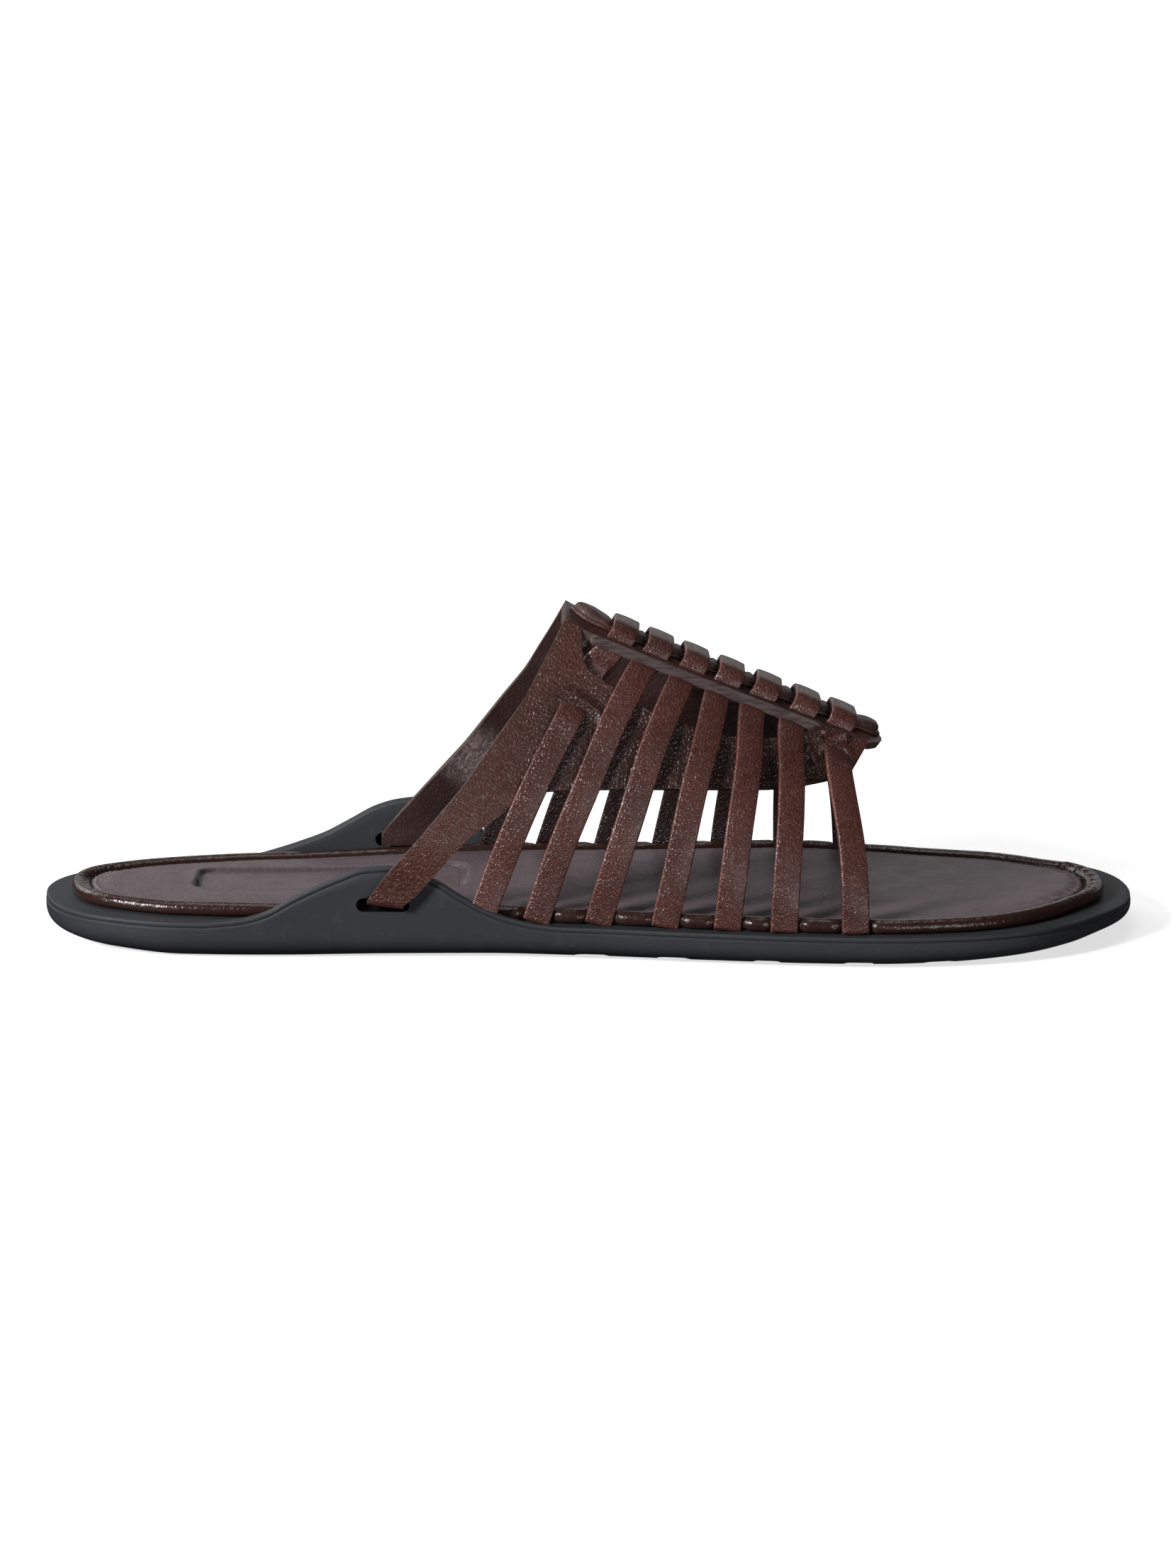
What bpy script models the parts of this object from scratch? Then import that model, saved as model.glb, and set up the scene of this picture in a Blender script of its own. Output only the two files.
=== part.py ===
"""Right-foot slide sandal: rubber outsole, padded insole, strapped leather upper and spine."""
import math

import bmesh
import bpy
import numpy as np

# Lengths are metres. X runs from the heel to the toe, Y to the inner (medial) side, Z up.
SOLE_LENGTH = 0.2695
BALL_HALF_WIDTH = 0.0448
WALL_HEIGHT = 0.0094
TOE_SPRING = 0.0038
ARCH_RISE = 0.0029
EDGE_TUCK = 0.0058
RIM_WIDTH = 0.0068
UNDERSIDE_FLAT = 0.008
WING_RISE_LATERAL = 0.0143
WING_RISE_MEDIAL = 0.0168
WING_WALL = 0.0034
LIP_ROUND = 0.0009
SLOT_LENGTH = 0.0129
SLOT_HEIGHT = 0.0034
SLOT_CENTRE_X = 0.0848
SLOT_CENTRE_Z = 0.0139
GROOVE_WIDTH = 0.0055
GROOVE_DEPTH = 0.0011
GROOVE_SHARES = (0.502, 0.5755, 0.659, 0.742, 0.813)
TREAD_HEIGHT = 0.0003
FIT_GAP = 0.0003
NOTCH_MARGIN = 0.0005

INSOLE_HEIGHT = 0.0031
INSOLE_ROLL = 0.0046
PATCH_LENGTH = 0.067
PATCH_WIDTH = 0.021
PATCH_CENTRE_X = 0.0708
PATCH_DEPTH = 0.0007

PANEL_WALL = 0.0020
STRAP_WALL = 0.0016
STRAP_WIDTH = 0.0066
STRAP_SET_BACK = 0.0026
END_STRAP_RUN = 0.0098
RIDGE_REAR_X = 0.1285
RIDGE_REAR_Z = 0.0811
RIDGE_FRONT_X = 0.2069
RIDGE_FRONT_Z = 0.0475
PLATE_HALF_WIDTH = 0.0123
MEDIAL_WINDOW_DEPTH = 0.0075
PLATE_CROWN = 0.0009
TIP_ROUND = 0.0068
TIP_HALF_WIDTH = 0.016
LOOP_HEIGHT = 0.0025
LOOP_HALF_WIDTH = 0.0074
SPINE_WIDTH = 0.0100
SPINE_HEIGHT = 0.0019
SPINE_PINCH = 0.0009
SPINE_END_SWELL = 0.0009
SPINE_REAR_SET_BACK = 0.0016
SPINE_FRONT_SET_BACK = 0.0008

# Plan of the sole: share of the length, then the lateral and medial edge as shares of the
# ball half width, measured from the heel's centre line.
PLAN = (
    (0.000, 0.000, 0.000),
    (0.0199, 0.430, 0.335),
    (0.0598, 0.630, 0.505),
    (0.1327, 0.765, 0.660),
    (0.1995, 0.780, 0.712),
    (0.2992, 0.770, 0.705),
    (0.3990, 0.770, 0.680),
    (0.4987, 0.815, 0.700),
    (0.5984, 0.905, 0.780),
    (0.6982, 0.980, 0.870),
    (0.7640, 1.000, 0.895),
    (0.8278, 0.960, 0.855),
    (0.889, 0.850, 0.800),
    (0.939, 0.645, 0.705),
    (0.965, 0.460, 0.640),
    (0.990, 0.235, 0.425),
    (1.000, -0.090, 0.090),
)

# Treads that the sole stands on: start and end as shares of the length, then the lateral and
# medial edge at the start and at the end as shares of the ball half width.
TREADS = (
    (0.10, 0.27, 0.50, 0.42, 0.54, 0.46),
    (0.47, 0.72, 0.60, 0.50, 0.74, 0.66),
)

# Edge of the sole: share of the length, rim height as a share of the wall height, lift of the
# underside as a share of the toe spring, tuck of the lower edge as a share of the edge tuck,
# distance from the lateral edge to the insole as a share of the rim width, rise of the medial
# rim as a share of the arch rise, and distance from the medial edge to the insole.
EDGE = (
    (0.000, 1.02, 0.50, 0.80, 0.95, 0.00, 0.95),
    (0.060, 1.00, 0.12, 1.00, 0.98, 0.00, 0.98),
    (0.133, 0.99, 0.00, 0.90, 0.95, 0.00, 0.95),
    (0.230, 0.97, 0.00, 0.85, 0.80, 0.10, 0.80),
    (0.330, 0.95, 0.03, 0.95, 0.64, 0.60, 0.64),
    (0.420, 0.93, 0.04, 0.97, 0.62, 1.00, 0.62),
    (0.480, 0.91, 0.02, 0.96, 0.46, 1.00, 0.46),
    (0.600, 0.885, 0.00, 1.00, 0.42, 0.80, 0.42),
    (0.690, 0.875, 0.00, 1.00, 0.42, 0.62, 0.42),
    (0.770, 0.868, 0.02, 1.00, 0.44, 0.18, 0.44),
    (0.820, 0.860, 0.07, 0.95, 0.50, 0.03, 0.50),
    (0.867, 0.850, 0.16, 0.90, 0.60, 0.00, 0.60),
    (0.910, 0.850, 0.30, 0.80, 0.80, 0.00, 0.92),
    (0.960, 0.855, 0.56, 0.62, 0.95, 0.00, 1.35),
    (1.000, 0.870, 0.90, 0.45, 1.00, 0.00, 1.00),
)

# Wings at the waist: share of the length, then the rise of the lateral and the medial wing as
# shares of their own greatest rise.
WINGS = (
    (0.000, 0.00, 0.00),
    (0.1496, 0.00, 0.00),
    (0.1696, 0.03, 0.03),
    (0.1895, 0.08, 0.10),
    (0.2105, 0.20, 0.20),
    (0.2304, 0.41, 0.31),
    (0.2513, 0.61, 0.44),
    (0.2743, 0.80, 0.64),
    (0.2992, 0.97, 0.86),
    (0.3192, 1.00, 0.96),
    (0.3391, 0.93, 1.00),
    (0.3611, 0.77, 0.95),
    (0.3840, 0.50, 0.74),
    (0.4039, 0.29, 0.46),
    (0.4289, 0.12, 0.19),
    (0.4538, 0.03, 0.05),
    (0.4788, 0.00, 0.00),
    (1.000, 0.00, 0.00),
)

# Wall of the wings: share of the length, thickness as a share of the wing wall.
WING_THICKNESS = (
    (0.00, 1.00),
    (0.40, 1.00),
    (0.43, 0.70),
    (0.46, 0.40),
    (1.00, 0.40),
)

# Straps: place of each loop along the ridge, as shares of the ridge from its rear, and of each
# foot along the sole, as shares of its length; then the share of the way down the side where
# the strap comes out over the saddle.
STRAPS = (
    (0.184, 0.4010, 0.4049, 0.26),
    (0.290, 0.4518, 0.4598, 0.06),
    (0.404, 0.5077, 0.5146, 0.06),
    (0.517, 0.5675, 0.5695, 0.06),
    (0.630, 0.6234, 0.6254, 0.06),
    (0.750, 0.6742, 0.6860, 0.06),
    (0.866, 0.7381, 0.7430, 0.10),
)

# Ridge of the plate: share of its run from the rear, and share of its drop.
RIDGE = (
    (0.000, 0.000),
    (0.032, 0.043),
    (0.078, 0.102),
    (0.160, 0.184),
    (0.466, 0.473),
    (0.784, 0.765),
    (0.912, 0.884),
    (0.963, 0.940),
    (1.000, 1.000),
)

# Side view of the saddle, from the rear strap up over the ridge and round the tip: shares of
# the sole length and of the ridge's rear height.
SADDLE_OUTLINE = (
    (0.3082, 0.226),
    (0.3341, 0.326),
    (0.3840, 0.512),
    (0.4189, 0.665),
    (0.4409, 0.762),
    (0.4643, 0.898),
    (0.4783, 1.000),
    (0.4783, 1.200),
    (0.8000, 1.200),
    (0.8000, 0.592),
    (0.7700, 0.575),
    (0.7520, 0.548),
    (0.7371, 0.535),
    (0.7141, 0.520),
    (0.6882, 0.508),
    (0.6583, 0.502),
    (0.4788, 0.502),
    (0.4488, 0.495),
    (0.4359, 0.478),
    (0.4209, 0.438),
    (0.4069, 0.408),
    (0.3820, 0.342),
    (0.3577, 0.252),
    (0.3461, 0.209),
    (0.3052, 0.209),
)

# Side view of the window under the plate: shares of the sole length and of the ridge's rear
# height.
WINDOW_OUTLINE = (
    (0.4947, 1.000),
    (0.4932, 0.905),
    (0.4972, 0.850),
    (0.5107, 0.812),
    (0.5316, 0.770),
    (0.5575, 0.715),
    (0.5945, 0.672),
    (0.6314, 0.643),
    (0.6653, 0.636),
    (0.6942, 0.646),
    (0.7092, 0.668),
    (0.7141, 0.720),
    (0.5984, 0.900),
)

# Fall of the saddle's side: share of the sole length, fullness of the lateral and the medial
# side, and their feet as shares of the ball half width.
SADDLE_SIDE = (
    (0.28, 1.75, 1.75, 0.860, 0.575),
    (0.34, 1.75, 1.75, 0.860, 0.580),
    (0.39, 1.60, 1.60, 0.830, 0.640),
    (0.45, 1.35, 1.35, 0.790, 0.700),
    (0.52, 1.25, 1.25, 0.790, 0.700),
    (0.60, 1.25, 1.25, 0.840, 0.740),
    (0.70, 1.25, 1.25, 0.900, 0.850),
    (0.80, 1.25, 1.25, 0.900, 0.880),
)

STRAP_FULLNESS = 2.1


def steady_slopes(x, y):
    """Slopes that keep a cubic curve between its points: harmonic means, level at a turn."""
    step = np.diff(y) / np.diff(x)
    before, after = step[:-1], step[1:]
    same_way = before * after > 0
    total = np.where(same_way, before + after, 1.0)
    inner = np.where(same_way, 2 * before * after / total, 0.0)
    return np.concatenate([step[:1], inner, step[-1:]])


def curve(table, column, at, slopes=steady_slopes):
    """Smooth curve through a column of a table, of cubic pieces."""
    rows = np.array(table)
    x, y = rows[:, 0], rows[:, column]
    slope = slopes(x, y)
    at = np.clip(np.asarray(at, float), x[0], x[-1])
    i = np.clip(np.searchsorted(x, at, side="right") - 1, 0, len(x) - 2)
    h = x[i + 1] - x[i]
    s = (at - x[i]) / h
    left = (1 + 2 * s) * (1 - s) ** 2 * y[i] + s * (1 - s) ** 2 * h * slope[i]
    right = s * s * (3 - 2 * s) * y[i + 1] - s * s * (1 - s) * h * slope[i + 1]
    return left + right


def turn(share):
    """Angle of a half turn whose cosine falls from 1 at the heel to -1 at the toe."""
    return np.arccos(np.clip(1 - 2 * np.asarray(share, float), -1, 1))


PLAN_BY_TURN = tuple((float(turn(row[0])), row[1], row[2]) for row in PLAN)


def plan_edge(share, side):
    """Y of the sole's edge at a share of its length; side is -1 lateral or 1 medial."""
    column = 1 if side < 0 else 2
    return side * BALL_HALF_WIDTH * curve(PLAN_BY_TURN, column, turn(share))


class Loop:
    """Closed outline of the sole: points, inward normals and the share of the length at each."""

    def __init__(self, half_count):
        angle = np.linspace(0, math.pi, half_count + 1)
        share = (1 - np.cos(angle)) / 2
        lateral = np.stack([share * SOLE_LENGTH, plan_edge(share, -1)], 1)
        medial = np.stack([share * SOLE_LENGTH, plan_edge(share, 1)], 1)
        self.points = np.concatenate([lateral, medial[-2:0:-1]])
        self.share = np.concatenate([share, share[-2:0:-1]])
        self.medial = np.arange(len(self.points)) > half_count
        along = np.roll(self.points, -1, 0) - np.roll(self.points, 1, 0)
        along /= np.linalg.norm(along, axis=1)[:, None]
        self.inward = np.stack([-along[:, 1], along[:, 0]], 1)

    def ring(self, inset, height):
        """Points moved inwards by inset and placed at height."""
        flat = self.points + self.inward * np.broadcast_to(inset, len(self.points))[:, None]
        tall = np.broadcast_to(height, len(self.points))
        return np.column_stack([flat, tall])


def stacked(rings):
    """Closed mesh over rings that run from the underside's middle, out, up and in again."""
    count = len(rings[0])
    half = count // 2
    points = [point for ring in rings for point in ring]
    faces = []
    for level in range(len(rings) - 1):
        low, high = level * count, (level + 1) * count
        for j in range(count):
            k = (j + 1) % count
            faces.append((low + j, low + k, high + k, high + j))
    for ring, start, up in ((rings[0], 0, False), (rings[-1], (len(rings) - 1) * count, True)):
        middle = (ring[1:half] + ring[:half:-1]) / 2
        base = len(points)
        points.extend(middle)
        lateral = [start + j for j in range(half + 1)]
        medial = [start] + [start + count - j for j in range(1, half)] + [start + half]
        centre = [start] + [base + j for j in range(half - 1)] + [start + half]
        for j in range(half):
            near = (lateral[j], lateral[j + 1], centre[j + 1], centre[j])
            far = (centre[j], centre[j + 1], medial[j + 1], medial[j])
            for face in (near, far):
                corners = list(dict.fromkeys(face))
                faces.append(tuple(corners if up else corners[::-1]))
    return points, faces


def new_object(name, points, faces, collection):
    """Mesh object from points and faces."""
    mesh = bpy.data.meshes.new(name)
    mesh.from_pydata([tuple(map(float, p)) for p in points], [], faces)
    mesh.validate()
    obj = bpy.data.objects.new(name, mesh)
    collection.objects.link(obj)
    return obj


def finish(name, colour, roughness, obj):
    """Material and smooth shading of a sub-part."""
    material = bpy.data.materials.new(name)
    material.use_nodes = True
    shader = material.node_tree.nodes["Principled BSDF"]
    shader.inputs["Base Color"].default_value = (*colour, 1.0)
    shader.inputs["Roughness"].default_value = roughness
    shader.inputs["Metallic"].default_value = 0.0
    obj.data.materials.clear()
    obj.data.materials.append(material)
    obj.data.shade_smooth()
    obj.data.set_sharp_from_angle(angle=math.radians(35))


def make_cutter(obj):
    """Take an object out of the model and leave it as a guide for a cut."""
    obj.hide_render = True
    obj.display_type = "WIRE"
    return obj


def prism(name, outline, axis, start, end, collection):
    """Flat outline drawn out along an axis; the outline's pairs are the two other axes."""
    drawing = bpy.data.curves.new(name, "CURVE")
    drawing.dimensions = "2D"
    drawing.fill_mode = "BOTH"
    drawing.extrude = (end - start) / 2
    spline = drawing.splines.new("POLY")
    spline.points.add(len(outline) - 1)
    for point, (a, b) in zip(spline.points, outline):
        point.co = (a, b, 0.0, 1.0)
    spline.use_cyclic_u = True
    source = bpy.data.objects.new(name + "_drawing", drawing)
    collection.objects.link(source)
    middle = (start + end) / 2
    if axis == "Y":
        source.rotation_euler = (math.radians(90), 0, 0)
        source.location = (0, middle, 0)
    else:
        source.location = (0, 0, middle)
    bpy.context.view_layer.update()
    graph = bpy.context.evaluated_depsgraph_get()
    mesh = bpy.data.meshes.new_from_object(source.evaluated_get(graph))
    obj = bpy.data.objects.new(name, mesh)
    obj.matrix_world = source.matrix_world.copy()
    collection.objects.link(obj)
    bpy.data.objects.remove(source)
    shape = bmesh.new()
    shape.from_mesh(mesh)
    bmesh.ops.remove_doubles(shape, verts=shape.verts, dist=1e-6)
    bmesh.ops.recalc_face_normals(shape, faces=shape.faces)
    shape.to_mesh(mesh)
    shape.free()
    return make_cutter(obj)


def combine(obj, other, operation, solver="EXACT"):
    """Boolean of an object with another; both are closed, so a union may use MANIFOLD."""
    modifier = obj.modifiers.new(operation.lower(), "BOOLEAN")
    modifier.operation = operation
    modifier.solver = solver
    modifier.object = other


def bake_modifiers(obj):
    """Replace an object's mesh by its evaluated one and drop its modifiers."""
    bpy.context.view_layer.update()
    graph = bpy.context.evaluated_depsgraph_get()
    mesh = bpy.data.meshes.new_from_object(obj.evaluated_get(graph))
    obj.modifiers.clear()
    obj.data = mesh


def arch_rise(share):
    """Rise of the medial rim along the arch of the foot."""
    return ARCH_RISE * curve(EDGE, 5, share)


def rim_height(share, medial):
    """Height of the outsole's rim above the floor."""
    return WALL_HEIGHT * curve(EDGE, 1, share) + medial * arch_rise(share)


def wing_rise(share, medial):
    """Rise of the wing above the rim."""
    lateral_rise = WING_RISE_LATERAL * curve(WINGS, 1, share)
    medial_rise = WING_RISE_MEDIAL * curve(WINGS, 2, share) - arch_rise(share)
    return np.maximum(np.where(medial, medial_rise, lateral_rise), 0)


def make_outsole(collection, cutters):
    """Moulded rubber sole: rounded lower edge, flat rim, wings with a strap slot, tread pads."""
    loop = Loop(52)
    share = loop.share
    rim = rim_height(share, loop.medial)
    rise = wing_rise(share, loop.medial)
    under = TREAD_HEIGHT + TOE_SPRING * curve(EDGE, 2, share)
    tuck = EDGE_TUCK * curve(EDGE, 3, share)
    wall = WING_WALL * curve(WING_THICKNESS, 1, share)
    lip = np.minimum(LIP_ROUND, wall / 3)
    rings = [
        loop.ring(tuck + UNDERSIDE_FLAT, under),
        loop.ring(tuck, under),
        loop.ring(tuck * 0.42, under + (rim - under) * 0.16),
        loop.ring(tuck * 0.12, under + (rim - under) * 0.42),
        loop.ring(0, rim - lip + rise),
        loop.ring(lip * 0.7, rim + rise),
        loop.ring(wall - lip * 0.7, rim + rise),
        loop.ring(wall, rim + np.maximum(rise - lip, 0)),
        loop.ring(wall + lip * 0.8, rim),
        loop.ring(tuck + UNDERSIDE_FLAT, rim),
    ]
    outsole = new_object("outsole", *stacked(rings), collection)

    half_length, half_height = SLOT_LENGTH / 2, SLOT_HEIGHT / 2
    quarter = np.linspace(-math.pi / 2, math.pi / 2, 7)
    front = [(SLOT_CENTRE_X + half_length - half_height + half_height * math.cos(a),
              SLOT_CENTRE_Z + half_height * math.sin(a)) for a in quarter]
    back = [(2 * SLOT_CENTRE_X - x, 2 * SLOT_CENTRE_Z - z) for x, z in front]
    slot = prism("slot_cutter", front + back, "Y", -BALL_HALF_WIDTH, BALL_HALF_WIDTH, cutters)
    combine(outsole, slot, "DIFFERENCE")

    for centre in GROOVE_SHARES:
        bpy.ops.mesh.primitive_cube_add(size=1, location=(centre * SOLE_LENGTH, 0, 0))
        groove = bpy.context.object
        groove.name = "groove_cutter"
        groove.scale = (GROOVE_WIDTH, 3 * BALL_HALF_WIDTH, 2 * (TREAD_HEIGHT + GROOVE_DEPTH))
        for owner in list(groove.users_collection):
            owner.objects.unlink(groove)
        cutters.objects.link(groove)
        bpy.context.view_layer.update()
        groove.data.transform(groove.matrix_world)
        groove.matrix_world.identity()
        combine(outsole, make_cutter(groove), "DIFFERENCE")

    for start, end, lateral, medial, lateral_end, medial_end in TREADS:
        corners = ((start, -lateral), (end, -lateral_end), (end, medial_end), (start, medial))
        outline = [(x * SOLE_LENGTH, y * BALL_HALF_WIDTH) for x, y in corners]
        tread = prism("tread_block", outline, "Z", 0.0, WALL_HEIGHT / 3, cutters)
        combine(outsole, tread, "UNION", "MANIFOLD")
    bake_modifiers(outsole)
    finish("outsole_rubber", (0.030, 0.031, 0.035), 0.62, outsole)
    return outsole


def make_insole(collection, cutters, strap_notches):
    """Padded insole: rolled edge, sewn groove, raised middle and a pressed heel patch."""
    loop = Loop(42)
    share = loop.share
    base = rim_height(share, loop.medial) + FIT_GAP
    seat = RIM_WIDTH * np.where(loop.medial, curve(EDGE, 6, share), curve(EDGE, 4, share))
    profile = (
        # inset and height, as shares of the roll's width and of the insole's height
        (0.26, 0.00),
        (0.05, 0.30),
        (0.00, 0.52),
        (0.10, 0.82),
        (0.38, 1.00),
        (0.72, 0.90),
        (1.00, 0.66),
        (1.30, 0.82),
        (2.60, 0.90),
    )
    rings = [loop.ring(seat + 2 * INSOLE_ROLL, base)]
    rings += [loop.ring(seat + a * INSOLE_ROLL, base + b * INSOLE_HEIGHT) for a, b in profile]
    insole = new_object("insole", *stacked(rings), collection)
    for notch in strap_notches:
        combine(insole, notch, "DIFFERENCE")

    half_length, half_width, corner = PATCH_LENGTH / 2, PATCH_WIDTH / 2, PATCH_WIDTH / 5
    outline = []
    for start, sx, sy in ((0, 1, 1), (90, -1, 1), (180, -1, -1), (270, 1, -1)):
        for step in range(5):
            angle = math.radians(start + 22.5 * step)
            outline.append((PATCH_CENTRE_X + sx * (half_length - corner) + corner * math.cos(angle),
                            sy * (half_width - corner) + corner * math.sin(angle)))
    floor = WALL_HEIGHT + FIT_GAP + INSOLE_HEIGHT * 0.90 - PATCH_DEPTH
    patch = prism("patch_cutter", outline, "Z", floor, floor + INSOLE_HEIGHT, cutters)
    combine(insole, patch, "DIFFERENCE")
    bake_modifiers(insole)
    finish("insole_leather", (0.055, 0.042, 0.047), 0.45, insole)
    return insole


RIDGE_RUN = RIDGE_FRONT_X - RIDGE_REAR_X
RIDGE_DROP = RIDGE_REAR_Z - RIDGE_FRONT_Z
RIDGE_ANGLE = math.atan2(RIDGE_DROP, RIDGE_RUN)
RIDGE_LENGTH = math.hypot(RIDGE_RUN, RIDGE_DROP)


def ridge_z(x):
    """Height of the plate's top along the middle; the slope goes on past both ends."""
    share = (np.asarray(x, float) - RIDGE_REAR_X) / RIDGE_RUN
    drop = curve(RIDGE, 1, share) + share - np.clip(share, 0, 1)
    return RIDGE_REAR_Z - RIDGE_DROP * drop


def plate_z(x, y):
    """Height of the crowned plate's top."""
    return ridge_z(x) - PLATE_CROWN * (y / PLATE_HALF_WIDTH) ** 2


def side_point(x, side, fall, fullness, foot_y, foot_z):
    """Point on a side of the arch: fall runs from 0 at the plate's edge to 1 at the sole.

    The way out from the plate's edge to the foot goes as 1 - (1 - fall) ** fullness, so a
    fuller side leaves the plate flatter and meets the sole more upright.
    """
    edge_z = plate_z(x, PLATE_HALF_WIDTH)
    out = 1 - (1 - fall) ** fullness
    y = side * (PLATE_HALF_WIDTH + (foot_y - PLATE_HALF_WIDTH) * out)
    return np.stack(np.broadcast_arrays(x, y, edge_z + (foot_z - edge_z) * fall), -1)


def saddle_side(x, side, fall):
    """Point on the saddle's side."""
    share = x / SOLE_LENGTH
    column = 1 if side < 0 else 2
    fullness = curve(SADDLE_SIDE, column, share)
    foot = BALL_HALF_WIDTH * curve(SADDLE_SIDE, column + 2, share)
    return side_point(x, side, fall, fullness, foot, WALL_HEIGHT)


def make_saddle(collection, cutters):
    """One leather saddle: plate, folded sides and rear bands, cut to its side view."""
    stations = np.linspace(0.300, 0.775, 29) * SOLE_LENGTH
    falls = np.concatenate([[0.03], np.linspace(0.10, 1.0, 11)])
    across = np.linspace(-0.94, 0.94, 7) * PLATE_HALF_WIDTH
    rows = []
    for x in stations:
        lateral = [saddle_side(x, -1, f) for f in falls[::-1]]
        plate = [(x, y, plate_z(x, y)) for y in across]
        medial = [saddle_side(x, 1, f) for f in falls]
        rows.append(lateral + plate + medial)
    width = len(rows[0])
    points = [p for row in rows for p in row]
    faces = []
    for i in range(len(rows) - 1):
        for j in range(width - 1):
            a = i * width + j
            faces.append((a, a + width, a + width + 1, a + 1))
    saddle = new_object("upper", points, faces, collection)
    wall = saddle.modifiers.new("wall", "SOLIDIFY")
    wall.thickness = PANEL_WALL
    wall.offset = -1
    wall.use_even_offset = True

    outline = [(a * SOLE_LENGTH, b * RIDGE_REAR_Z) for a, b in SADDLE_OUTLINE]
    side_view = prism("saddle_outline", outline, "Y", -0.06, 0.06, cutters)
    combine(saddle, side_view, "INTERSECT")
    window = [(a * SOLE_LENGTH, b * RIDGE_REAR_Z) for a, b in WINDOW_OUTLINE]
    shallow = [(x, max(z, float(plate_z(x, PLATE_HALF_WIDTH)) - MEDIAL_WINDOW_DEPTH))
               for x, z in window]
    beside = 1.3 * BALL_HALF_WIDTH
    for name, view, start, end in (("window_lateral", window, -beside, -PLATE_HALF_WIDTH),
                                   ("window_medial", shallow, PLATE_HALF_WIDTH, beside)):
        combine(saddle, prism(name, view, "Y", start, end, cutters), "DIFFERENCE")

    arc = [(RIDGE_FRONT_X - TIP_ROUND * s ** 2, s * TIP_HALF_WIDTH)
           for s in np.linspace(-1.5, 1.5, 13)]
    beyond, aside = SOLE_LENGTH, BALL_HALF_WIDTH
    front = arc + [(beyond, aside), (beyond, -aside)]
    combine(saddle, prism("tip_cutter", front, "Z", 0.0, 0.1, cutters), "DIFFERENCE")
    return saddle


def smooth_path(points, spacing):
    """Points at even spacing on a smooth curve through the route's own points."""
    route = np.array(points, float)
    step = np.linalg.norm(np.diff(route, axis=0), axis=1)
    length = np.concatenate([[0], np.cumsum(np.sqrt(step))])
    fine = np.linspace(0, length[-1], 400)
    rows = np.column_stack([length, route])
    dense = np.stack([curve(rows, c, fine, lambda x, y: np.gradient(y, x)) for c in (1, 2, 3)], 1)
    run = np.concatenate([[0], np.cumsum(np.linalg.norm(np.diff(dense, axis=0), axis=1))])
    count = max(int(run[-1] / spacing), 4)
    at = np.linspace(0, run[-1], count + 1)
    return np.stack([np.interp(at, run, dense[:, c]) for c in range(3)], 1)


def unit(vectors):
    """Rows made one long."""
    return vectors / np.linalg.norm(vectors, axis=1)[:, None]


def ribbon(name, path, across, width, wall, collection, level_ends=False):
    """Flat strap: a strip along a path, as wide as width, with a wall about its middle.

    With level ends, each end's two corners slide along the strap to the height of the path's end.
    """
    across = unit(across)
    left = path - across * width / 2
    right = path + across * width / 2
    if level_ends:
        for end, next_one in ((0, 1), (-1, -2)):
            along = path[end] - path[next_one]
            for edge in (left, right):
                edge[end] += along * (path[end, 2] - edge[end, 2]) / along[2]
    points = np.concatenate([left, right])
    count = len(path)
    faces = [(j, j + 1, count + j + 1, count + j) for j in range(count - 1)]
    strap = new_object(name, points, faces, collection)
    thick = strap.modifiers.new("wall", "SOLIDIFY")
    thick.thickness = wall
    thick.offset = 0
    thick.use_even_offset = True
    bake_modifiers(strap)
    return strap


def foot_place(share, side):
    """Distance of a strap's foot from the centre line, clear of the rim's raised lip."""
    half = STRAP_WIDTH / SOLE_LENGTH / 2
    under = np.array([share - half, share, share + half])
    wall = WING_WALL * np.max(curve(WING_THICKNESS, 1, under))
    edge = np.min(np.abs(plan_edge(under, side)))
    return edge - wall - LIP_ROUND - FIT_GAP - STRAP_WALL / 2


def strap_route(loop, foot_share, outside_from, side):
    """Route of one strap on one side, from the middle of its loop down to the sole."""
    base_x = RIDGE_REAR_X + loop * RIDGE_RUN
    lean = math.sin(RIDGE_ANGLE)
    rise = math.cos(RIDGE_ANGLE)
    start_x = base_x - STRAP_SET_BACK
    reach = foot_share * SOLE_LENGTH - start_x

    def over_plate(out, height, back):
        y = out * LOOP_HALF_WIDTH
        x = base_x - back * STRAP_SET_BACK
        return (x + lean * height, side * y, plate_z(x, y) + rise * height)

    hidden = -(PANEL_WALL + STRAP_WALL / 2 - FIT_GAP)
    points = [
        over_plate(0, LOOP_HEIGHT, 0),
        over_plate(0.64, LOOP_HEIGHT, 0),
        over_plate(0.94, 0.70 * LOOP_HEIGHT, 0),
        over_plate(1.00, 0, 0.10),
        over_plate(1.20, hidden, 0.40),
        over_plate(0.98 * PLATE_HALF_WIDTH / LOOP_HALF_WIDTH, 1.05 * hidden, 0.80),
    ]
    foot_y = foot_place(foot_share, side)
    foot_z = rim_height(foot_share, side > 0) + FIT_GAP
    for fall in (0.13, 0.26, 0.40, 0.55, 0.70, 0.85, 1.0):
        out = 1 - (1 - fall) ** STRAP_FULLNESS
        x = start_x + reach * (0.9 * fall + 0.1 * out)
        if fall < outside_from:
            point = saddle_side(x, side, fall)
            point[1] -= side * (PANEL_WALL + STRAP_WALL)
        else:
            point = side_point(x, side, fall, STRAP_FULLNESS, foot_y, foot_z)
        points.append(tuple(float(v) for v in point))
    return points


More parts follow.
